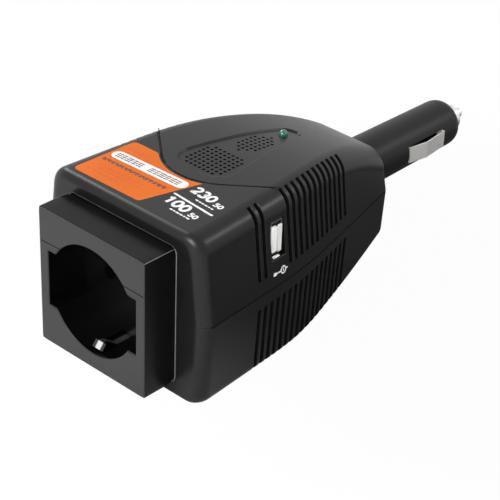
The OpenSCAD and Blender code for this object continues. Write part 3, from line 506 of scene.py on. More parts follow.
def housing_shell(name, upper):
    """Half of the housing as one grid. A row is a cut across the housing at one station, a column
    follows the same feature from front to rear: split line, drafted wall, edge arc, roof. Grooves,
    the sunken vent area and the panel line are depths along the normal; holes are grid cells
    pulled round and pushed in."""
    side, kind, value = column_table(upper)
    count = len(side)
    ahead, behind = shell_rows(upper)
    right_skip = (2, 3, 4) if upper else ()      # the port takes the place of three grooves
    uniform = ROWS_FROM + ROW_STEP * np.arange(ROWS)
    right_map = groove_map(right_skip, upper)
    signed = np.where(side == 0, np.sign(value), side)
    if upper:
        near = np.where(kind == CENTRE, 0.0,
                        np.where(kind == SHOULDER, 1 - smooth((value + 1) / 13), 1.0))
        maps = np.where(signed[None, :] > 0, right_map[:, None], groove_map((), False)[:, None])
        body = lerp(uniform[:, None], maps, near[None, :])
    else:
        body = full_rows(right_map, count)
    s = np.concatenate([full_rows(ahead, count), body, full_rows(behind, count)])
    pull_r = TOP_ROUND_R if upper else BOTTOM_ROUND_R
    draft = UPPER_DRAFT if upper else LOWER_DRAFT

    def form(s):
        x0 = side_x(s) - end_pull(CORNER_R, s)
        h = (top_z(s) if upper else bottom_z(s)) - end_pull(pull_r, s)
        return x0, h, edge_radius(s, EDGE_TOP if upper else EDGE_BOTTOM)

    x0, h, r = form(s)
    flat = x0 - draft * h - r
    v = value[None, :]
    k = kind[None, :]
    # The lower grooves start a little higher towards the rear
    lift = np.zeros_like(s) if upper else -0.11 * np.clip((s - GROOVES[0]) / GROOVE_PITCH, 0, 16)
    split = GROOVE_UP[0] if upper else GROOVE_UP[1] + lift
    up = np.where(v >= 100, split + (v - 100) * (h - r - split), v + lift * np.clip(v / 5.4, 0, 1))
    along = (up - SEAM) / (h - r - SEAM)
    drafted = lerp(x0 - draft * SEAM, x0 - draft * h, along)
    x = np.where(k == SEAM_LINE, x0 - SEAM, drafted)
    z = np.where(k == SEAM_LINE, 0.0, up)
    a = np.where(k == EDGE_ARC, v, 0.0)
    x = np.where(k == EDGE_ARC, flat + r * np.cos(a), x)
    z = np.where(k == EDGE_ARC, h - r + r * np.sin(a), z)
    if upper:
        middle = CENTRE_COLS * COL_STEP
        fit = np.minimum(1.0, (flat - 3.6) / middle)
        x = np.where(k == SHOULDER, shoulder_x(v, s, flat, middle * fit), x)
        x = np.where(k == CENTRE, np.abs(v) * fit, x)
    else:
        x = np.where(k == SHOULDER, flat * (1 - v), x)
        x = np.where(k == CENTRE, np.abs(v) * flat, x)
    x = x * signed[None, :]

    # Round holes: vent holes and the lamp's hole in the roof, screw holes underneath
    sink = np.zeros_like(s)
    hole = np.zeros(s.shape, bool)
    if upper:
        cells = [((i - (n - 1) / 2) * VENT_PITCH, hs, 2, VENT_R)
                 for hs, n in VENT_ROWS for i in range(n)]
        cells.append((0.0, LED_S, 7, LED_HOLE_R))
        mid = int(np.argmax(kind == CENTRE)) + CENTRE_COLS
        for hx, hs, n, radius in cells:
            row = len(ahead) + int(round((hs - ROWS_FROM) / ROW_STEP))
            col = mid - int(round(hx / COL_STEP))
            m = n + 1
            window = np.s_[row - m:row + m + 1, col - m:col + m + 1]
            u = -np.arange(-m, m + 1)[None, :] / n
            w = np.arange(-m, m + 1)[:, None] / n
            du, dw, reach = disc_move(u, w, 1.0 / n)
            shrink = np.where((reach < 0.99) & (reach > 1 - 1.5 / n), 0.95 / (1 - 1.0 / n), 1.0)
            moved = reach <= 1.001
            x[window] = np.where(moved, hx + radius * du * shrink, x[window])
            s[window] = np.where(moved, hs + radius * dw * shrink, s[window])
            sink[window] = np.where(reach < 0.99, VENT_DEPTH, sink[window])
            hole[window] |= reach < 0.99
    else:
        flat_cols = np.repeat(k >= SHOULDER, len(s), 0)
        for m, (cx, cs) in ((m, screw) for screw in SCREWS for m in (-1, 1)):
            u = (x - m * cx) / SCREW_HOLE_R
            w = (s - cs) / SCREW_HOLE_R
            near_hole = (np.maximum(np.abs(u), np.abs(w)) < 1.13) & flat_cols
            du, dw, reach = disc_move(u, w, 0.12)
            x = np.where(near_hole, m * cx + SCREW_HOLE_R * du, x)
            s = np.where(near_hole, cs + SCREW_HOLE_R * dw, s)
            sink = np.where(near_hole & (reach < 0.99), SCREW_HOLE_DEPTH, sink)
            hole |= near_hole & (reach < 0.95)
    z = np.where(k >= SHOULDER, form(s)[1], z)

    # Depths along the normal
    rise = h - r - SEAM
    run = draft * (h - SEAM)
    length = np.hypot(rise, run)
    arc, roof = k == EDGE_ARC, k >= SHOULDER
    nx = np.where(arc, np.cos(a), np.where(roof, 0.0, rise / length)) * signed[None, :]
    nz = np.where(arc, np.sin(a), np.where(roof, 1.0, run / length))

    # A groove starts on the wall: 0.2 of its depth from one column, all of it from the next
    def from_start(wall_from, arc_to):
        on_wall = (kind == WALL_LINE) & (value > wall_from)
        return on_wall | (kind == EDGE_ARC) & (value < math.radians(arc_to))

    if upper:
        grooved, full = from_start(5.41, 66.5), from_start(5.45, 65)
    else:
        grooved, full = from_start(5.61, 91) | (kind == SHOULDER) & (value < 0.01), from_start(5.65, 89)
    share = np.where(full, 1.0, np.where(grooved, 0.2, 0.0))
    depth = np.zeros_like(s)
    for m, skip in ((1, right_skip), (-1, ())):
        depth = np.maximum(depth, groove_depth(s, skip) * (share * (signed == m))[None, :])
    groove_part = depth > 0.3
    if upper:
        sunk = SUNK_DEPTH * smooth((teardrop_edge(x, s) + 0.25) / 0.5)
        beyond = np.clip(np.abs(x) - flat, 0, r)
        line = np.clip(LINE_DEPTH - r + np.sqrt(r * r - beyond * beyond), 0, None)
        line = line * smooth((0.42 - chevron_away(x, s)) / 0.26)
        depth = np.where(roof | arc & (v > math.radians(66.5)), np.maximum(sunk, line), depth)
        # The port's edge rolls in and becomes its jamb
        port_row = np.abs(s - PORT_S) - PORT_HALF_S
        reach = side_reach(PORT_S, True)
        port_up = np.where(value >= 100, GROOVE_UP[0] + (value - 100) * (reach - GROOVE_UP[0]), value)
        port_col = np.abs(port_up - PORT_UP) - PORT_HALF_UP
        port_col = np.where((kind == WALL_LINE) & (side == 1), port_col, 99.0)[None, :]
        gap = np.maximum(port_row, port_col)
        jamb = np.interp(gap, [-0.01, 0.0, 0.14], [JAMB_DEPTH, 0.12, 0.0])
        depth = np.where(gap < 50, np.maximum(depth, jamb), depth)
        hole |= gap < -0.03
    depth = depth + sink
    px = x - nx * depth
    pz = z - nz * depth

    # The front face: from the outline to the socket's opening, then in past its edge
    level = np.zeros(count)
    open_up = (OPEN_H - DROP if upper else OPEN_H + DROP)
    open_r = OPEN_CORNER[0 if upper else 1]
    arc, roof = kind == EDGE_ARC, kind >= SHOULDER
    fx = np.where(arc, OPEN_W - open_r + open_r * np.cos(value), OPEN_W)
    fx = np.where(roof, np.abs(x[0]) / flat[0] * (OPEN_W - open_r), fx) * signed
    fz = np.clip(z[0] / (h - r)[0], 0, 1) * (open_up - open_r)
    fz = np.where(arc, open_up - open_r + open_r * np.sin(value), np.where(roof, open_up, fz))
    ox = np.where(roof, 0.0, np.where(arc, np.cos(value), 1.0)) * signed
    oz = np.where(roof, 1.0, np.where(arc, np.sin(value), 0.0))
    fillet, mouth_depth, flange = 0.35, 2.4, 3.0
    rows_in = [(lerp(px[0], fx + fillet * ox, t), level, lerp(pz[0], fz + fillet * oz, t))
               for t in (0.12, 0.35, 0.6, 0.85)]
    for turn in np.radians((0, 22.5, 45, 67.5, 90)):
        c = fillet * (1 - math.sin(turn))
        rows_in.append((fx + c * ox, level + fillet * (1 - math.cos(turn)), fz + c * oz))
    rows_in.append((fx, level + mouth_depth, fz))
    rows_in.append((fx + flange * ox, level + mouth_depth, fz + flange * oz))
    # The rear face: from the rim to the plug's collar, then in
    collar_r, round_r = 10.35, 0.3
    angle = np.arctan2(pz[-1], px[-1])
    cos, sin = np.cos(angle), np.sin(angle)
    rows_out = [(lerp(px[-1], (collar_r + round_r) * cos, t), level + BODY_LEN,
                 lerp(pz[-1], (collar_r + round_r) * sin, t)) for t in (0.2, 0.5, 0.8)]
    for turn in np.radians((0, 30, 60, 90)):
        c = collar_r + round_r * (1 - math.sin(turn))
        rows_out.append((c * cos, level + BODY_LEN - round_r * (1 - math.cos(turn)), c * sin))
    rows_out.append((collar_r * cos, level + BODY_LEN - WALL, collar_r * sin))
    gx, gs, gz = (np.concatenate([np.array([q[axis] for q in rows_in[::-1]]), middle_rows,
                                  np.array([q[axis] for q in rows_out])])
                  for axis, middle_rows in enumerate((px, s, pz)))
    # An inward lip along both split lines stands for the wall's thickness
    gx = np.concatenate([gx[:, :1] - np.minimum(WALL, gx[:, :1] * 0.5), gx,
                         gx[:, -1:] + np.minimum(WALL, -gx[:, -1:] * 0.5)], 1)
    gs, gz = (np.concatenate([g[:, :1], g, g[:, -1:]], 1) for g in (gs, gz))
    rows, cols = gx.shape
    quads = grid_quads(rows, cols, flip=upper)
    inner = np.s_[len(rows_in):len(rows_in) + len(s), 1:-1]
    cut = np.zeros((rows, cols), bool)
    cut[inner] = hole
    # Groove floors and hole walls take the darker finish, which paints the shade in them
    dark = np.zeros((rows, cols), bool)
    dark[inner] = groove_part | (sink > 0)
    finish = (dark.ravel()[quads].sum(1) >= 3).astype(int)
    # Faces at the split line take the matte finish, whose darker black paints the seam's shade
    at_seam = np.abs(gz.ravel()[quads] - SEAM).max(1) < 0.75
    finish[at_seam & (gs.ravel()[quads].min(1) > 3.0)] = 2
    points = np.stack([gx.ravel(), gs.ravel(), gz.ravel() * (1 if upper else -1)], 1)
    keep = ~cut.ravel()[quads].all(1)
    used, quads = np.unique(quads[keep], return_inverse=True)
    shell = mesh_from_arrays(name, points[used], quads.reshape(-1, 4),
                             [shell_black, hollow_painted_shade, painted_shade_black], finish[keep], 32)
    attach(shell, "inverter")
    return shell


upper_shell = housing_shell("upper_shell", True)
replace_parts(upper_shell, "upper_housing")
lower_shell = housing_shell("lower_shell", False)
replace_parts(lower_shell, "lower_housing")


# ---------------------------------------------------------------- mains socket block

BLOCK_HALF_W, BLOCK_HALF_H, BLOCK_OUT = 25.75, 26.75, 14.2
BLOCK_CORNER, BLOCK_FILLET, MOUTH = 0.5, 0.3, 0.4
RECESS_R, SLOT_HALF_W, SLOT_HALF_H = 20.85, 21.65, 10.95
CLIP_HALF, CLIP_TOP, CLIP_FRONT = 3.0, 24.6, -12.6     # the earth clips' channels
FACE_LINE = 13.8                                       # height of the moulded line


def quarter_pairs():
    """Pairs (outer x, outer height, recess x, recess height) that join the block's outline to the
    recess, from the middle of the right side up and round to the middle of the top."""
    meet = math.sqrt(RECESS_R ** 2 - SLOT_HALF_H ** 2)
    side, top = BLOCK_HALF_W, BLOCK_HALF_H

    def beside(v):
        return math.sqrt(RECESS_R ** 2 - v * v)

    def on_circle(angle):
        return RECESS_R * math.cos(angle), RECESS_R * math.sin(angle)

    pairs = [(side, up, SLOT_HALF_W, up) for up in (0, 3.5, 7.5, 10.75, SLOT_HALF_H)]
    pairs += [(side, up, x, SLOT_HALF_H)
              for up, x in ((11.1, SLOT_HALF_W - 0.2), (11.9, SLOT_HALF_W - 2),
                            (12.6, meet + 0.15), (12.8, meet))]
    pairs.append((side, 13.0, beside(11.15), 11.15))
    pairs += [(side, FACE_LINE + d, beside(FACE_LINE + d), FACE_LINE + d)
              for d in (-0.22, -0.17, -0.12, 0.12, 0.17, 0.22)]
    line_end, diagonal = FACE_LINE + 0.22, math.radians(52)
    channel = CLIP_HALF + 0.06
    for t in np.linspace(0, 1, 10)[1:]:
        angle = lerp(math.asin(line_end / RECESS_R), diagonal, t)
        pairs.append((side, lerp(line_end, top, t), *on_circle(angle)))
    for t in np.linspace(0, 1, 13)[1:]:
        angle = lerp(diagonal, math.acos(channel / RECESS_R), t)
        pairs.append((lerp(side, channel, t), top, *on_circle(angle)))
    pairs += [(x, top, x, beside(x)) for x in (CLIP_HALF, 2.94, 2.2, 1.1)]
    return np.array(pairs)


def socket_shell():
    """The block as rings of points from its root over the outer edge, across the face and into the
    recess. A column joins a point of the rectangle to a point of the recess outline; the pairs are
    chosen so that the moulded lines and the clip channels lie along columns."""
    quarter = quarter_pairs()
    middle = np.array([[0.0, BLOCK_HALF_H, 0.0, RECESS_R]])
    upper = np.concatenate([quarter, middle, quarter[::-1] * np.array([-1, 1, -1, 1])])
    lower = upper[1:-1][::-1] * np.array([1, -1, 1, -1])
    ox, oz, ix, iz = np.concatenate([upper, lower]).T
    cols = len(ox)
    on_side = np.abs(ox) > BLOCK_HALF_W - 0.05
    line_col = (np.abs(oz - FACE_LINE) < 0.16) & on_side
    half_line = (np.abs(oz - FACE_LINE) < 0.19) & on_side
    clip_col = (np.abs(ix) <= 2.95) & (np.abs(iz) > 19)

    def outline(inset, radius):
        """The rectangle drawn in by an inset, its corners rounded by moving points onto an arc."""
        w, h = BLOCK_HALF_W - inset, BLOCK_HALF_H - inset
        x, z = np.clip(ox, -w, w), np.clip(oz, -h, h)
        ux, uz = np.abs(x) - (w - radius), np.abs(z) - (h - radius)
        corner = (ux > 0) & (uz > 0)
        reach = np.maximum(ux, uz) / (np.hypot(ux, uz) + 1e-9)
        ax = np.where(corner, w - radius + ux * reach, np.abs(x))
        az = np.where(corner, h - radius + uz * reach, np.abs(z))
        return np.sign(x) * ax, np.sign(z) * az

    rows = []
    side_rows = (4.2, 2.4, 0.3, 0.0, -0.3, -0.6, -1.0, -1.4, -1.9, -2.5, -3.1, -3.6, -8.0, -13.0)
    for s in side_rows:
        # The corners widen into the housing
        x, z = outline(0, BLOCK_CORNER + 2.1 * min(1.0, max(0.0, (s + 3.6) / 3.6)) ** 2)
        rows.append((x, np.full(cols, s), z))
    for turn in np.radians((0, 18, 36, 54, 72, 90)):
        x, z = outline(BLOCK_FILLET * (1 - math.cos(turn)), BLOCK_CORNER)
        rows.append((x, np.full(cols, -BLOCK_OUT + BLOCK_FILLET * (1 - math.sin(turn))), z))
    face_x, _, face_z = rows[-1]
    # Outward direction of the recess outline: along x on the slot's end, up on its long sides,
    # radial on the circle
    meet = math.sqrt(RECESS_R ** 2 - SLOT_HALF_H ** 2)
    radial = np.hypot(ix, iz)
    on_end = (np.abs(ix) > SLOT_HALF_W - 0.01) & (np.abs(iz) <= SLOT_HALF_H + 0.01)
    on_long = (np.abs(np.abs(iz) - SLOT_HALF_H) < 0.01) & (np.abs(ix) > meet + 0.01) & ~on_end
    corner = on_end & (np.abs(iz) > SLOT_HALF_H - 0.01)
    nx = np.where(on_end, np.sign(ix), np.where(on_long, 0, ix / radial))
    nz = np.where(on_end, 0, np.where(on_long, np.sign(iz), iz / radial))
    nz = np.where(corner, np.sign(iz), nz)
    line_depth = np.where(line_col, 0.4, np.where(half_line, 0.06, 0.0))
    for t in (0.0, 0.02, 0.25, 0.5, 0.75, 0.98, 1.0):
        x, z = lerp(face_x, ix + MOUTH * nx, t), lerp(face_z, iz + MOUTH * nz, t)
        rows.append((x, line_depth - BLOCK_OUT, z))
    for turn in (22.5, 45, 67.5, 90):
        t = math.radians(turn)
        c = MOUTH * (1 - math.sin(t))
        s = -BLOCK_OUT + MOUTH * (1 - math.cos(t)) + line_depth * (1 - turn / 120)
        rows.append((ix + c * nx, s, iz + c * nz))
    lip = len(rows) - 1
    rows.append((ix, np.full(cols, CLIP_FRONT - 0.06), iz))
    for s in (CLIP_FRONT, CLIP_FRONT + 0.05, -9.0, -5.0, -1.0, 3.3):
        deep = clip_col & (s > CLIP_FRONT + 0.01)
        rows.append((ix, np.full(cols, s), np.where(deep, np.sign(iz) * CLIP_TOP, iz)))
    gx, gs, gz = (np.array(axis) for axis in zip(*rows))
    points = np.stack([gx.ravel(), gs.ravel(), gz.ravel() - DROP], 1)
    strips = np.arange(len(rows) - 1)
    # The recess takes a darker finish that paints its shade; the sides take a darker glossy one that
    # paints theirs
    finish = np.repeat(np.where(strips >= lip, 1, np.where(strips < len(side_rows), 2, 0)), cols)
    block = mesh_from_arrays("socket_block_face", points, grid_quads(len(rows), cols, wrap_cols=True),
                             [socket_black, socket_recess_painted_shade, socket_side_painted_shade], finish, 35)
    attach(block, "inverter")
    return block


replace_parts(socket_shell(), "socket_block")


def opening_rim():
    """A thin rounded bead round the block's root: a circle of radius 0.2 carried along the rounded
    rectangle of the opening, level with the housing's front face, and thinner along the top."""
    w, h, r = OPEN_W + 0.05, OPEN_H + 0.05, 2.8
    turn = np.radians(np.concatenate([np.linspace(q, q + 90, 10) for q in (0, 90, 180, 270)]))
    out_x, out_z = np.cos(turn), np.sin(turn)
    path_x = np.repeat([1, -1, -1, 1], 10) * (w - r) + r * out_x
    path_z = np.repeat([1, 1, -1, -1], 10) * (h - r) + r * out_z
    bead = np.where((out_z > 0.75) & (path_z > h - 1.0), 0.06, 0.2)
    around = np.radians(np.arange(0, 360, 36.0))[:, None]
    gx = path_x + bead * np.cos(around) * out_x
    gz = path_z + bead * np.cos(around) * out_z
    gs = -0.05 + bead * np.sin(around)
    points = np.stack([gx.ravel(), gs.ravel(), gz.ravel() - DROP], 1)
    # The bead's lighter grey paints a highlight along the opening's edge
    rim = mesh_from_arrays("opening_rim", points, grid_quads(*gx.shape, wrap_cols=True, wrap_rows=True),
                           [bead_painted_highlight])
    faces_outward(rim)
    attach(rim, "inverter")


opening_rim()


def block_edge(side):
    """The upper corner edge of the block as a bead with a painted highlight: a circle of radius 0.16
    carried along a straight line from behind the face to the root, its ends closed by rings that shrink
    to the line."""
    around = np.radians(np.arange(0, 360, 30.0))[None, :]
    s = np.array([-13.9, -13.9, -13.7, -7.0, -1.0, -0.8, -0.8])[:, None]
    r = np.array([0.01, 0.1, 0.16, 0.16, 0.16, 0.1, 0.01])[:, None]
    gx = side * (BLOCK_HALF_W - 0.10) + r * np.cos(around)
    gz = BLOCK_HALF_H - 0.10 + r * np.sin(around)
    points = np.stack([gx.ravel(), (s + 0 * gx).ravel(), gz.ravel() - DROP], 1)
    edge = mesh_from_arrays("block_edge_right" if side > 0 else "block_edge_left", points,
                            grid_quads(*gx.shape, wrap_cols=True), [bead_painted_highlight])
    faces_outward(edge)
    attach(edge, "inverter")


block_edge(1)
block_edge(-1)


# ---------------------------------------------------------------- port front

def wall_x(s, z):
    """Distance of the upper side wall from the middle plane, at a station and a height."""
    h = top_z(s)
    along = (z - SEAM) / (h - edge_radius(s, EDGE_TOP) - SEAM)
    return side_x(s) - UPPER_DRAFT * (SEAM + (h - SEAM) * along)


def rounded_plate(name, s0, s1, z0, z1, depth, thick, r, finish):
    """A small plate that faces outwards: rings of a rounded rectangle, drawn in over the front edge
    by a quarter circle and closed with a middle point in front and behind."""
    turn = np.radians(np.arange(0, 360, 15.0))
    cos, sin = np.cos(turn), np.sin(turn)
    cs, cz = (s0 + s1) / 2, (z0 + z1) / 2
    ws, wz = (s1 - s0) / 2, (z1 - z0) / 2
    face = float(wall_x(np.array([cs]), np.array([cz]))[0]) - depth
    edge = 0.35 * r
    rings = [(face - thick, ws, wz, r)]
    for quarter in np.radians((0, 30, 60, 90)):
        inset = edge * (1 - math.cos(quarter))
        rings.append((face - edge * (1 - math.sin(quarter)), ws - inset, wz - inset, r - inset))
    grid = []
    for x, w, h, c in rings:
        along = np.sign(cos) * (w - c) * (np.abs(cos) > 1e-6) + c * cos
        up = np.sign(sin) * (h - c) * (np.abs(sin) > 1e-6) + c * sin
        grid.append(np.stack([np.full(len(turn), x), cs + along, cz + up], 1))
    cols, behind = len(turn), len(rings) * len(turn)
    ends = np.array([[face - thick, cs, cz], [face, cs, cz]])
    j = np.arange(0, cols, 2)
    after, last = (j + 2) % cols, behind - cols
    fans = [np.stack([np.full(len(j), behind), j, j + 1, after], -1),
            np.stack([np.full(len(j), behind + 1), last + after, last + j + 1, last + j], -1)]
    quads = np.concatenate([grid_quads(len(rings), cols, wrap_cols=True), *fans])
    plate = mesh_from_arrays(name, np.concatenate([*grid, ends]), quads, [finish], sharp=40)
    faces_outward(plate)
    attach(plate, "inverter")


rounded_plate("port_tongue_front", 37.3, 39.6, 12.3, 22.2, 0.30, 2.4, 0.35, port_bright)
rounded_plate("port_spring_strip", 40.45, 42.3, 11.5, 22.2, 0.42, 0.5, 0.25, port_white)
rounded_plate("port_lower_lip", 37.1, 40.2, 10.5, 11.15, 0.12, 0.8, 0.25, port_bright)
# A dark sheet behind the port paints the shade inside it
rounded_plate("port_painted_shade_back", 36.1, 43.5, 10.3, 24.5, 1.30, 0.15, 0.4, hollow_painted_shade)

# ---------------------------------------------------------------- plug barrel

BARREL_R, TUBE_R, BORE_R, CAVITY_R = 10.25, 4.6, 3.5, 8.2
WINDOW = (144.0, 166.3, 3.8)       # start, end and half height of the leaf contacts' windows
WINDOW_COLS = 8
FUSE_FRONT = 174.8


def turned(profile, near_r):
    """A closed profile of (radius, station) carried round the plug's axis. The columns gather so that
    the window edges, at a height of plus and minus WINDOW[2] on a circle of near_r, are columns."""
    half = math.asin(WINDOW[2] / near_r)
    window = np.arcsin(np.linspace(-WINDOW[2], WINDOW[2], WINDOW_COLS + 1) / near_r)
    rest = np.linspace(half, math.pi - half, 33)[1:-1]
    turn = np.concatenate([window, rest, math.pi + window, math.pi + rest])
    r, s = np.array(profile, float).T
    x, up = r[:, None] * np.cos(turn), r[:, None] * np.sin(turn)
    points = np.stack([x.ravel(), np.repeat(s, len(turn)), up.ravel()], 1)
    return points, grid_quads(len(r), len(turn), wrap_cols=True, wrap_rows=True), len(turn)


def plug_barrel_shell():
    """The moulded barrel: an outer turned wall with a short rounded nose, an inner cavity round the
    fuse tube, and two windows whose side walls join the outer grid to the inner one."""
    window = (WINDOW[0], 151.0, 159.0, WINDOW[1])
    body = [(5.0, 107.0), (8.9, 107.0), (8.9, 111.7), (12.9, 111.8), (12.9, BODY_LEN - WALL)]
    body += [(BARREL_R, at) for at in (BODY_LEN - WALL, 118.0, 128.0, WINDOW[0] - 0.3, *window,
                                       WINDOW[1] + 0.3, 170.0)]
    taper = [(r - 0.75 * min(1.0, max(0.0, (s - 118.0) / 55.0)) if r > 9 else r, s) for r, s in body]
    nose = [(6.9 + 2.6 * math.cos(t) ** 0.95, 173.4 + 4.4 * math.sin(t))
            for t in np.radians(np.linspace(0, 90, 12))]
    mouth = [(6.6, 177.7), (6.3, 177.5), (6.3, 176.6), (4.75, 176.6), (4.75, FUSE_FRONT - 0.4),
             (BORE_R, FUSE_FRONT - 0.4), (BORE_R, 121.5), (1.5, 121.5), (1.5, 119.0), (5.0, 119.0)]
    outer, outer_quads, cols = turned(taper + nose + mouth, BARREL_R)
    cavity = [(CAVITY_R, at) for at in (121.5, *window, 169.0)] + [(TUBE_R, 169.0), (TUBE_R, 121.5)]
    inner, inner_quads, _ = turned(cavity, CAVITY_R)
    first, last, inner_first, inner_last = 9, 12, 1, 4      # rows of the windows' ends in either grid
    starts = (0, cols // 2)                                 # first column of the right and left window
    shift = len(outer)

    def opening(quads, low, high):
        row, col = np.arange(len(quads)) // cols, np.arange(len(quads)) % cols
        return (row >= low) & (row < high) & (col % (cols // 2) < WINDOW_COLS)

    walls = []
    for begin in starts:
        j = begin + np.arange(WINDOW_COLS)
        for a, b in ((first * cols + j, inner_first * cols + j),
                     (last * cols + j, inner_last * cols + j)):
            walls.append(np.stack([a, a + 1, shift + b + 1, shift + b], -1))
        i = np.arange(last - first) * cols
        for j in (begin, begin + WINDOW_COLS):
            a, b = first * cols + i + j, shift + inner_first * cols + i + j
            walls.append(np.stack([a, a + cols, b + cols, b], -1))
    inner_quads = inner_quads[~opening(inner_quads, inner_first, inner_last)][:, ::-1] + shift
    quads = np.concatenate([outer_quads[~opening(outer_quads, first, last)], inner_quads, *walls])
    barrel = mesh_from_arrays("plug_barrel_shell", np.concatenate([outer, inner]), quads, [plug_black],
                              sharp=35)
    faces_outward(barrel)
    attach(barrel, "inverter")
    return barrel


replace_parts(plug_barrel_shell(), "plug_barrel")


def plug_coil():
    """The coil spring behind the fuse: a circle of radius 0.35 carried along a helix of radius 2.6
    with 8 turns, its ends drawn in to the wire's middle line."""
    wire_r, coil_r, turns, start, end = 0.35, 2.6, 8, 123.35, 142.3
    t = np.linspace(0, 1, turns * 20 + 1)
    a = 2 * math.pi * turns * t
    rise = (end - start) / (2 * math.pi * turns)
    out = np.stack([np.cos(a), 0 * a, np.sin(a)], 1)
    along = np.stack([-coil_r * np.sin(a), rise + 0 * a, coil_r * np.cos(a)], 1)
    along /= np.linalg.norm(along, axis=1, keepdims=True)
    cross = np.cross(along, out)
    thick = wire_r * np.where((t == 0) | (t == 1), 0.02, 1.0)[:, None, None]
    ring = np.radians(np.arange(0, 360, 45.0))[None, :, None]
    centre = np.stack([coil_r * np.cos(a), start + (end - start) * t, coil_r * np.sin(a)], 1)
    section = np.cos(ring) * out[:, None, :] + np.sin(ring) * cross[:, None, :]
    points = (centre[:, None, :] + thick * section).reshape(-1, 3)
    coil = mesh_from_arrays("plug_coil", points, grid_quads(len(t), ring.size, wrap_cols=True), [steel])
    faces_outward(coil)
    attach(coil, "inverter")
    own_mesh(coil)
    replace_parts(coil, "plug_spring")


plug_coil()


def nose_collar():
    """The plated collar behind the nose cap: a turned ring that flares to the barrel's mouth."""
    profile = [(4.85, 176.7), (6.15, 176.7), (6.15, 178.3), (6.0, 178.6), (5.55, 178.9), (5.4, 179.4),
               (5.4, 181.18), (4.85, 181.18)]
    points, quads, _ = turned(profile, BARREL_R)
    collar = mesh_from_arrays("nose_collar", points, quads, [bright_plate], sharp=35)
    faces_outward(collar)
    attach(collar, "nose_cap")


nose_collar()


# ---------------------------------------------------------------- label and print

TUCK = -0.06


def skirted(x, s, lift, place):
    """A patch of rows and columns, laid a little over a surface, with its border tucked under it.
    place(x, s, lift) gives the points; the winding is chosen from the first cell."""
    x = np.pad(x, 1, mode="edge")
    s = np.pad(s, 1, mode="edge")
    height = np.full(x.shape, lift)
    height[[0, -1], :] = TUCK
    height[:, [0, -1]] = TUCK
    points = place(x, s, height)
    rows, cols = x.shape
    middle = (rows // 2) * cols + cols // 2
    a, b, c = points[middle], points[middle + 1], points[middle + cols]
    quads = grid_quads(rows, cols)
    out = place(x, s, height + 1.0)[middle] - a
    if np.dot(np.cross(b - a, c - a), out) < 0:
        quads = quads[:, ::-1]
    return points, quads


def on_roof(x, s, lift):
    """Lays a patch on the roof."""
    return np.stack([x.ravel(), s.ravel(), (top_z(s) + lift).ravel()], 1)


def wall_place(x, s, lift):
    """Lays a patch on the right-hand wall: its x runs along the stations, its s up the wall."""
    return np.stack([(wall_x(x, s) + lift).ravel(), x.ravel(), s.ravel()], 1)


def bar_grid(x0, s0, x1, s1, r):
    """A rounded bar from one point to the other: half width r, falling to a half circle at each end."""
    run = math.hypot(x1 - x0, s1 - s0)
    tx, ts = (x1 - x0) / run, (s1 - s0) / run
    turn = np.radians(np.linspace(90, 0, 7))
    u = np.concatenate([-r * np.sin(turn), [run * 0.5], run + r * np.sin(turn[::-1])])[None, :]
    w = np.concatenate([r * np.cos(turn), [r], r * np.cos(turn[::-1])])
    v = np.linspace(-1, 1, 5)[:, None] * np.maximum(w, 0.02 * r)
    return x0 + tx * u - ts * v, s0 + ts * u + tx * v


def ribbon_grid(path, r):
    """A ribbon of half width r along a dense path: each row is the path moved sideways."""
    path = np.asarray(path, float)
    along = np.gradient(path, axis=0)
    along /= np.linalg.norm(along, axis=1, keepdims=True)
    v = np.linspace(-1, 1, 3)[:, None] * r
    return path[:, 0] - along[:, 1] * v, path[:, 1] + along[:, 0] * v


def arc_path(cx, cy, rx, ry, start, end, count=16):
    """Points of an ellipse's arc from one angle in degrees to another."""
    t = np.radians(np.linspace(start, end, count))
    return np.stack([cx + rx * np.cos(t), cy + ry * np.sin(t)], 1)


def line_path(*corners):
    """Points along straight lines through the corners, eight to a line."""
    corners = np.array(corners, float)
    t = np.linspace(0, len(corners) - 1, 8 * (len(corners) - 1) + 1)
    return np.stack([np.interp(t, np.arange(len(corners)), corners[:, i]) for i in (0, 1)], 1)


# The figures' strokes in a cell of width 0.62 and height 1
DIGITS = {
    "0": [arc_path(0.31, 0.5, 0.22, 0.40, 90, 450, 30)],
    "1": [line_path((0.12, 0.70), (0.34, 0.90)), line_path((0.34, 0.92), (0.34, 0.05))],
    "2": [np.concatenate([arc_path(0.31, 0.66, 0.22, 0.25, 165, -30),
                          line_path((0.47, 0.47), (0.10, 0.11))]),
          line_path((0.07, 0.11), (0.56, 0.11))],
    "3": [arc_path(0.29, 0.70, 0.21, 0.21, 150, -90), arc_path(0.29, 0.29, 0.24, 0.22, 90, -150)],
    "5": [line_path((0.50, 0.90), (0.13, 0.90), (0.11, 0.52)),
          arc_path(0.28, 0.32, 0.24, 0.24, 130, -150)],
}


FIGURE_WIDEN, FIGURE_PITCH, FIGURE_TURN = 1.25, 0.78, math.radians(-4.8)


def number(text, x, s, size, weight):
    """Plain figures as ribbons: lower left corner, height, half stroke width."""
    cos, sin = math.cos(FIGURE_TURN), math.sin(FIGURE_TURN)
    grids = []
    for i, figure in enumerate(text):
        for path in DIGITS[figure]:
            u, v = (path[:, 0] * FIGURE_WIDEN + i * FIGURE_PITCH) * size, path[:, 1] * size
            turned_path = np.stack([x + u * cos - v * sin, s + u * sin + v * cos], 1)
            grids.append(ribbon_grid(turned_path, weight))
    return grids


def dashes(x0, x1, s, slope, r, lengths, gap):
    """A row of short bars that stands for a line of small print."""
    grids, x, i = [], x0, 0
    while x + lengths[i % len(lengths)] <= x1:
        end = x + lengths[i % len(lengths)]
        grids.append(bar_grid(x, s + slope * (x - x0), end, s + slope * (end - x0), r))
        x, i = end + gap, i + 1
    return grids


def printed(name, grids, material, lift, place=on_roof):
    """One piece of print from a list of patches, at a height over the surface it lies on."""
    points, quads = join_parts([skirted(x, s, lift, place) for x, s in grids])
    obj = mesh_from_arrays(name, points, quads, [material], sharp=40)
    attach(obj, "inverter")


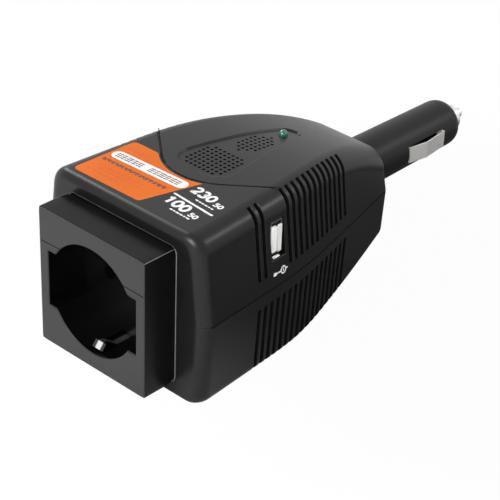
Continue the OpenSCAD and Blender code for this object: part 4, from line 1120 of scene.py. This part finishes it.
def label_grid():
    """The orange label: its front edge and its rear edge, which runs 1 mm ahead of the chevron
    line, are joined by straight columns; three corners are rounded."""
    front_left, front_right, rear_left, rear_right = -28.9, 3.4, -28.0, 9.7
    front_s, rear_limit, left_r, right_r = (4.25, 4.8), 33.0, 2.2, 1.5
    ease = 1 - np.cos(np.radians(np.linspace(0, 90, 8)))
    t = np.concatenate([0.07 * ease, np.linspace(0.07, 0.95, 46)[1:-1], 1 - 0.05 * ease[::-1]])
    xb, xt = lerp(front_left, front_right, t), lerp(rear_left, rear_right, t)

    def corner(d, r):
        """How far a corner of radius r draws the edge in at a distance d from the side."""
        return r - np.sqrt(np.clip(r * r - np.clip(r - d, 0, r) ** 2, 0, None))

    sb = lerp(*front_s, t) + corner(xb - front_left, left_r) + corner(front_right - xb, right_r)
    reach = NOSE_R + 1.0
    nose = NOSE_S - np.sqrt(np.clip(reach ** 2 - xt ** 2, 0, None))
    knee = reach * math.sin(FLANK)
    flank = NOSE_S - reach * math.cos(FLANK) + (np.abs(xt) - knee) * math.tan(FLANK)
    st = np.minimum(rear_limit, np.where(np.abs(xt) < knee, nose, flank))
    st = st - corner(xt - rear_left, left_r)
    v = np.linspace(0, 1, 12)[:, None]
    return lerp(xb, xt, v), lerp(sb, st, v)


def chevron_path(side):
    """Half of the chevron line: an arc of radius NOSE_R - 0.25 about the nose centre, then the flank."""
    reach = NOSE_R - 0.25
    t = np.linspace(0, FLANK, 40)
    arc = np.stack([reach * np.sin(t), NOSE_S - reach * np.cos(t)], 1)
    x = np.linspace(arc[-1, 0], 29.6, 40)[1:]
    flank = np.stack([x, arc[-1, 1] + (x - arc[-1, 0]) * math.tan(FLANK)], 1)
    return np.concatenate([arc, flank]) * np.array([side, 1])


# A dark matte ribbon over the chevron groove paints the shade in it
printed("chevron_painted_shade", [ribbon_grid(chevron_path(side), 0.17) for side in (1, -1)], painted_shade_black, 0.015)
printed("front_label", [label_grid()], label_orange, 0.010)
printed("label_panel", [bar_grid(-24.6, 22.0, 4.9, 23.1, 2.6)], print_white, 0.016)

# A row of dashes: from x, to x, station, slope, half width, lengths in turn, gap
panel_marks = [grid for x0, x1 in ((-25.2, -12.2), (-9.8, 4.6)) for up in (1.05, 0.0, -1.05)
               for grid in dashes(x0, x1, 22.0 + 0.037 * (x0 + 25) + up, 0.037, 0.26,
                                  (1.9, 1.2, 2.4, 1.5), 0.75)]
printed("panel_print", panel_marks, print_dark, 0.022)
printed("label_print", dashes(-26.6, 4.6, 17.0, 0.02, 0.48, (0.7, 1.1, 0.5, 0.9, 1.3), 1.15)
        + dashes(-26.4, 4.4, 16.1, 0.02, 0.30, (1.3, 0.4, 0.8), 1.35), print_dark, 0.016)
printed("label_small_print", dashes(-26.0, -15.6, 28.0, 0.04, 0.42, (1.5, 0.9, 0.6), 1.2)
        + dashes(-25.4, -1.5, 12.6, 0.02, 0.30, (1.6, 0.8, 2.2), 1.5)
        + dashes(-25.4, -1.5, 10.6, 0.02, 0.30, (0.9, 2.0, 1.2), 1.6)
        + dashes(-25.4, -9.0, 8.0, 0.02, 0.30, (1.4, 1.1), 1.4), print_rust, 0.016)
printed("port_mark", [bar_grid(36.9, 4.75, 37.6, 4.75, 0.62), bar_grid(37.6, 4.75, 40.5, 4.75, 0.24),
                      ribbon_grid(arc_path(41.7, 4.75, 1.25, 1.25, 180, 540, 30), 0.27),
                      bar_grid(42.9, 4.75, 44.0, 4.75, 0.24), bar_grid(41.7, 4.35, 41.7, 5.15, 0.24)],
        print_white, 0.03, wall_place)
printed("roof_print", number("230", 9.8, 21.9, 4.7, 0.56) + number("50", 22.0, 20.6, 2.5, 0.30)
        + number("100", 7.7, 11.0, 4.9, 0.58) + number("50", 20.7, 9.9, 2.5, 0.30)
        + dashes(15.9, 25.0, 19.3, -0.07, 0.34, (0.8, 0.3, 0.6), 0.95)
        + dashes(14.2, 24.4, 8.9, -0.04, 0.34, (0.7, 0.3, 1.0), 0.95)
        + [bar_grid(7.9, 17.2, 26.6, 15.7, 0.46)], print_white, 0.014)

# ---------------------------------------------------------------- finishes of the CAD parts

FINISH = {
    shell_black: ("upper_housing", "lower_housing"), socket_black: ("socket_block",),
    socket_recess_painted_shade: ("contact_carrier",), plug_black: ("plug_barrel",),
    clip_shade_and_highlight: ("earth_strap", "earth_clip_top", "earth_clip_bottom"),
    brass: ("line_contact", "neutral_contact", "nose_washer", "fuse_base"),
    bright_plate: ("nose_cap", "tip_contact", "fuse_caps"), fuse_clear: ("fuse_glass",),
    spring_plate: ("side_contact_right", "side_contact_left"),
    steel: ("fuse_wire", "plug_spring", "usb_shell", "led_leads", "board_screws", "housing_screws"),
    port_white: ("usb_tongue",), lamp_green: ("status_led",),
    board_green: ("circuit_board", "usb_board"),
    ferrite_grey: ("transformer_core",), tape_yellow: ("transformer_coil",), copper: ("output_choke",),
    sleeve_blue: ("storage_capacitor", "input_capacitors"), epoxy_black: ("power_transistors", "buzzer"),
    aluminium: ("heatsink",), inner_black: ("fan_frame", "fan_rotor"), lead_red: ("dc_lead_positive",),
    lead_black: ("dc_lead_negative",), lead_brown: ("ac_lead_line",), lead_blue: ("ac_lead_neutral",),
}
for finish, names in FINISH.items():
    for name in names:
        slots = bpy.data.objects[name].data.materials
        if len(slots) == 0:
            slots.append(finish)
        for i in range(len(slots)):
            slots[i] = finish

# ---------------------------------------------------------------- floor, light and camera

def lamp(name, place, target, size, energy):
    """A square lamp of a size in metres and a power in watts, turned to its target."""
    data = bpy.data.lights.new(name, "AREA")
    data.energy = energy
    data.size = size
    obj = bpy.data.objects.new(name, data)
    bpy.context.scene.collection.objects.link(obj)
    obj.location = place
    obj.rotation_euler = (Vector(target) - Vector(place)).to_track_quat("-Z", "Y").to_euler()
    return obj


def seen_white(tree, shading, share):
    """Mixes a white glow of strength 1 over a shader for camera rays, so that a share of the floor's
    shading, and with it the object's shadow, stays."""
    path = new_node(tree, "LightPath")
    weight = tree.nodes.new("ShaderNodeMath")
    weight.operation = "MULTIPLY"
    weight.inputs[1].default_value = share
    tree.links.new(path.outputs["Is Camera Ray"], weight.inputs[0])
    glow = new_node(tree, "Emission", Color=(1, 1, 1, 1))
    mix = new_node(tree, "MixShader", Fac=weight.outputs["Value"])
    tree.links.new(shading, mix.inputs[1])
    tree.links.new(glow.outputs["Emission"], mix.inputs[2])
    return mix.outputs["Shader"]


def floor_material():
    """White paper with a painted shadow on it: a round grey patch to the right and behind, which keeps
    the side walls dark. The patch's grey grows from its edge inwards."""
    shadow_x, shadow_y, shadow_r = 0.085, 0.055, 0.17
    material, tree, shader = new_material("studio_floor")
    where = new_node(tree, "TexCoord")
    centre = new_node(tree, "Mapping", Vector=where.outputs["Object"],
                      Location=(-shadow_x / shadow_r, -shadow_y / shadow_r, 0),
                      Scale=(1 / shadow_r, 1 / shadow_r, 1))
    shadow_patch = new_node(tree, "TexGradient", Vector=centre.outputs["Vector"])
    shadow_patch.gradient_type = "SPHERICAL"
    # The grey patch is a painted shadow on the floor
    floor_with_shadow = colour_ramp(tree, shadow_patch.outputs["Fac"], (0.05, 0.45), (grey(0.94), grey(0.16)))
    feed(tree, shader, Base_Color=floor_with_shadow, Roughness=0.9, Specular_IOR_Level=0.0)
    out = next(n for n in tree.nodes if n.type == "OUTPUT_MATERIAL")
    feed(tree, out, Surface=seen_white(tree, shader.outputs["BSDF"], 0.975))
    return material


FLOOR_HALF = 1.5
floor_mesh = bpy.data.meshes.new("studio_floor")
floor_ends = (-FLOOR_HALF, FLOOR_HALF)
floor_mesh.from_pydata([(x, y, 0.0) for y in floor_ends for x in floor_ends], [], [(0, 1, 3, 2)])
floor_mesh.materials.append(floor_material())
floor_obj = bpy.data.objects.new("studio_floor", floor_mesh)
bpy.context.scene.collection.objects.link(floor_obj)

# The white world lights the piece's shading faintly and is white to every other ray
world = bpy.data.worlds.new("studio")
bpy.context.scene.world = world
world.use_nodes = True
sky = world.node_tree
background = next(n for n in sky.nodes if n.type == "BACKGROUND")
sky_rays = new_node(sky, "LightPath")
sky_level = new_node(sky, "MapRange", Value=sky_rays.outputs["Is Diffuse Ray"], To_Min=1.0, To_Max=0.14)
feed(sky, background, Color=(1, 1, 1, 1), Strength=sky_level.outputs["Result"])

lamp("key", (-1.0, 0.12, 0.85), (0, 0, 0.0), 0.5, 8)
lamp("front", (0.05, -0.70, 0.42), (0, -0.12, 0.0), 0.25, 4.2)
side_lamp = lamp("side", (0.69, -0.76, 0.63), (0, 0, 0.03), 0.30, 9)
side_lamp.visible_glossy = False      # its mirror image would bleach the roof from behind
lamp("rim", (0.62, 0.85, 0.66), (0, 0, 0.03), 0.20, 1.8)

CAMERA_PLACE = (0.38143, -0.44425, 0.36939)
CAMERA_TURN, CAMERA_TILT, CAMERA_ROLL = (math.radians(v) for v in (42.124, 31.625, 2.181))
camera_data = bpy.data.cameras.new("camera")
camera = bpy.data.objects.new("camera", camera_data)
bpy.context.scene.collection.objects.link(camera)
bpy.context.scene.camera = camera
camera_data.sensor_width = 36
camera_data.lens = 130.47
look = Vector((-math.sin(CAMERA_TURN) * math.cos(CAMERA_TILT),
               math.cos(CAMERA_TURN) * math.cos(CAMERA_TILT), -math.sin(CAMERA_TILT)))
right = Vector((math.cos(CAMERA_TURN), math.sin(CAMERA_TURN), 0))
up = right.cross(look)
rolled_right = right * math.cos(CAMERA_ROLL) + up * math.sin(CAMERA_ROLL)
rolled_up = up * math.cos(CAMERA_ROLL) - right * math.sin(CAMERA_ROLL)
basis = Matrix((rolled_right, rolled_up, -look)).transposed()
camera.matrix_world = Matrix.Translation(CAMERA_PLACE) @ basis.to_4x4()

bpy.context.scene.view_settings.view_transform = "Standard"
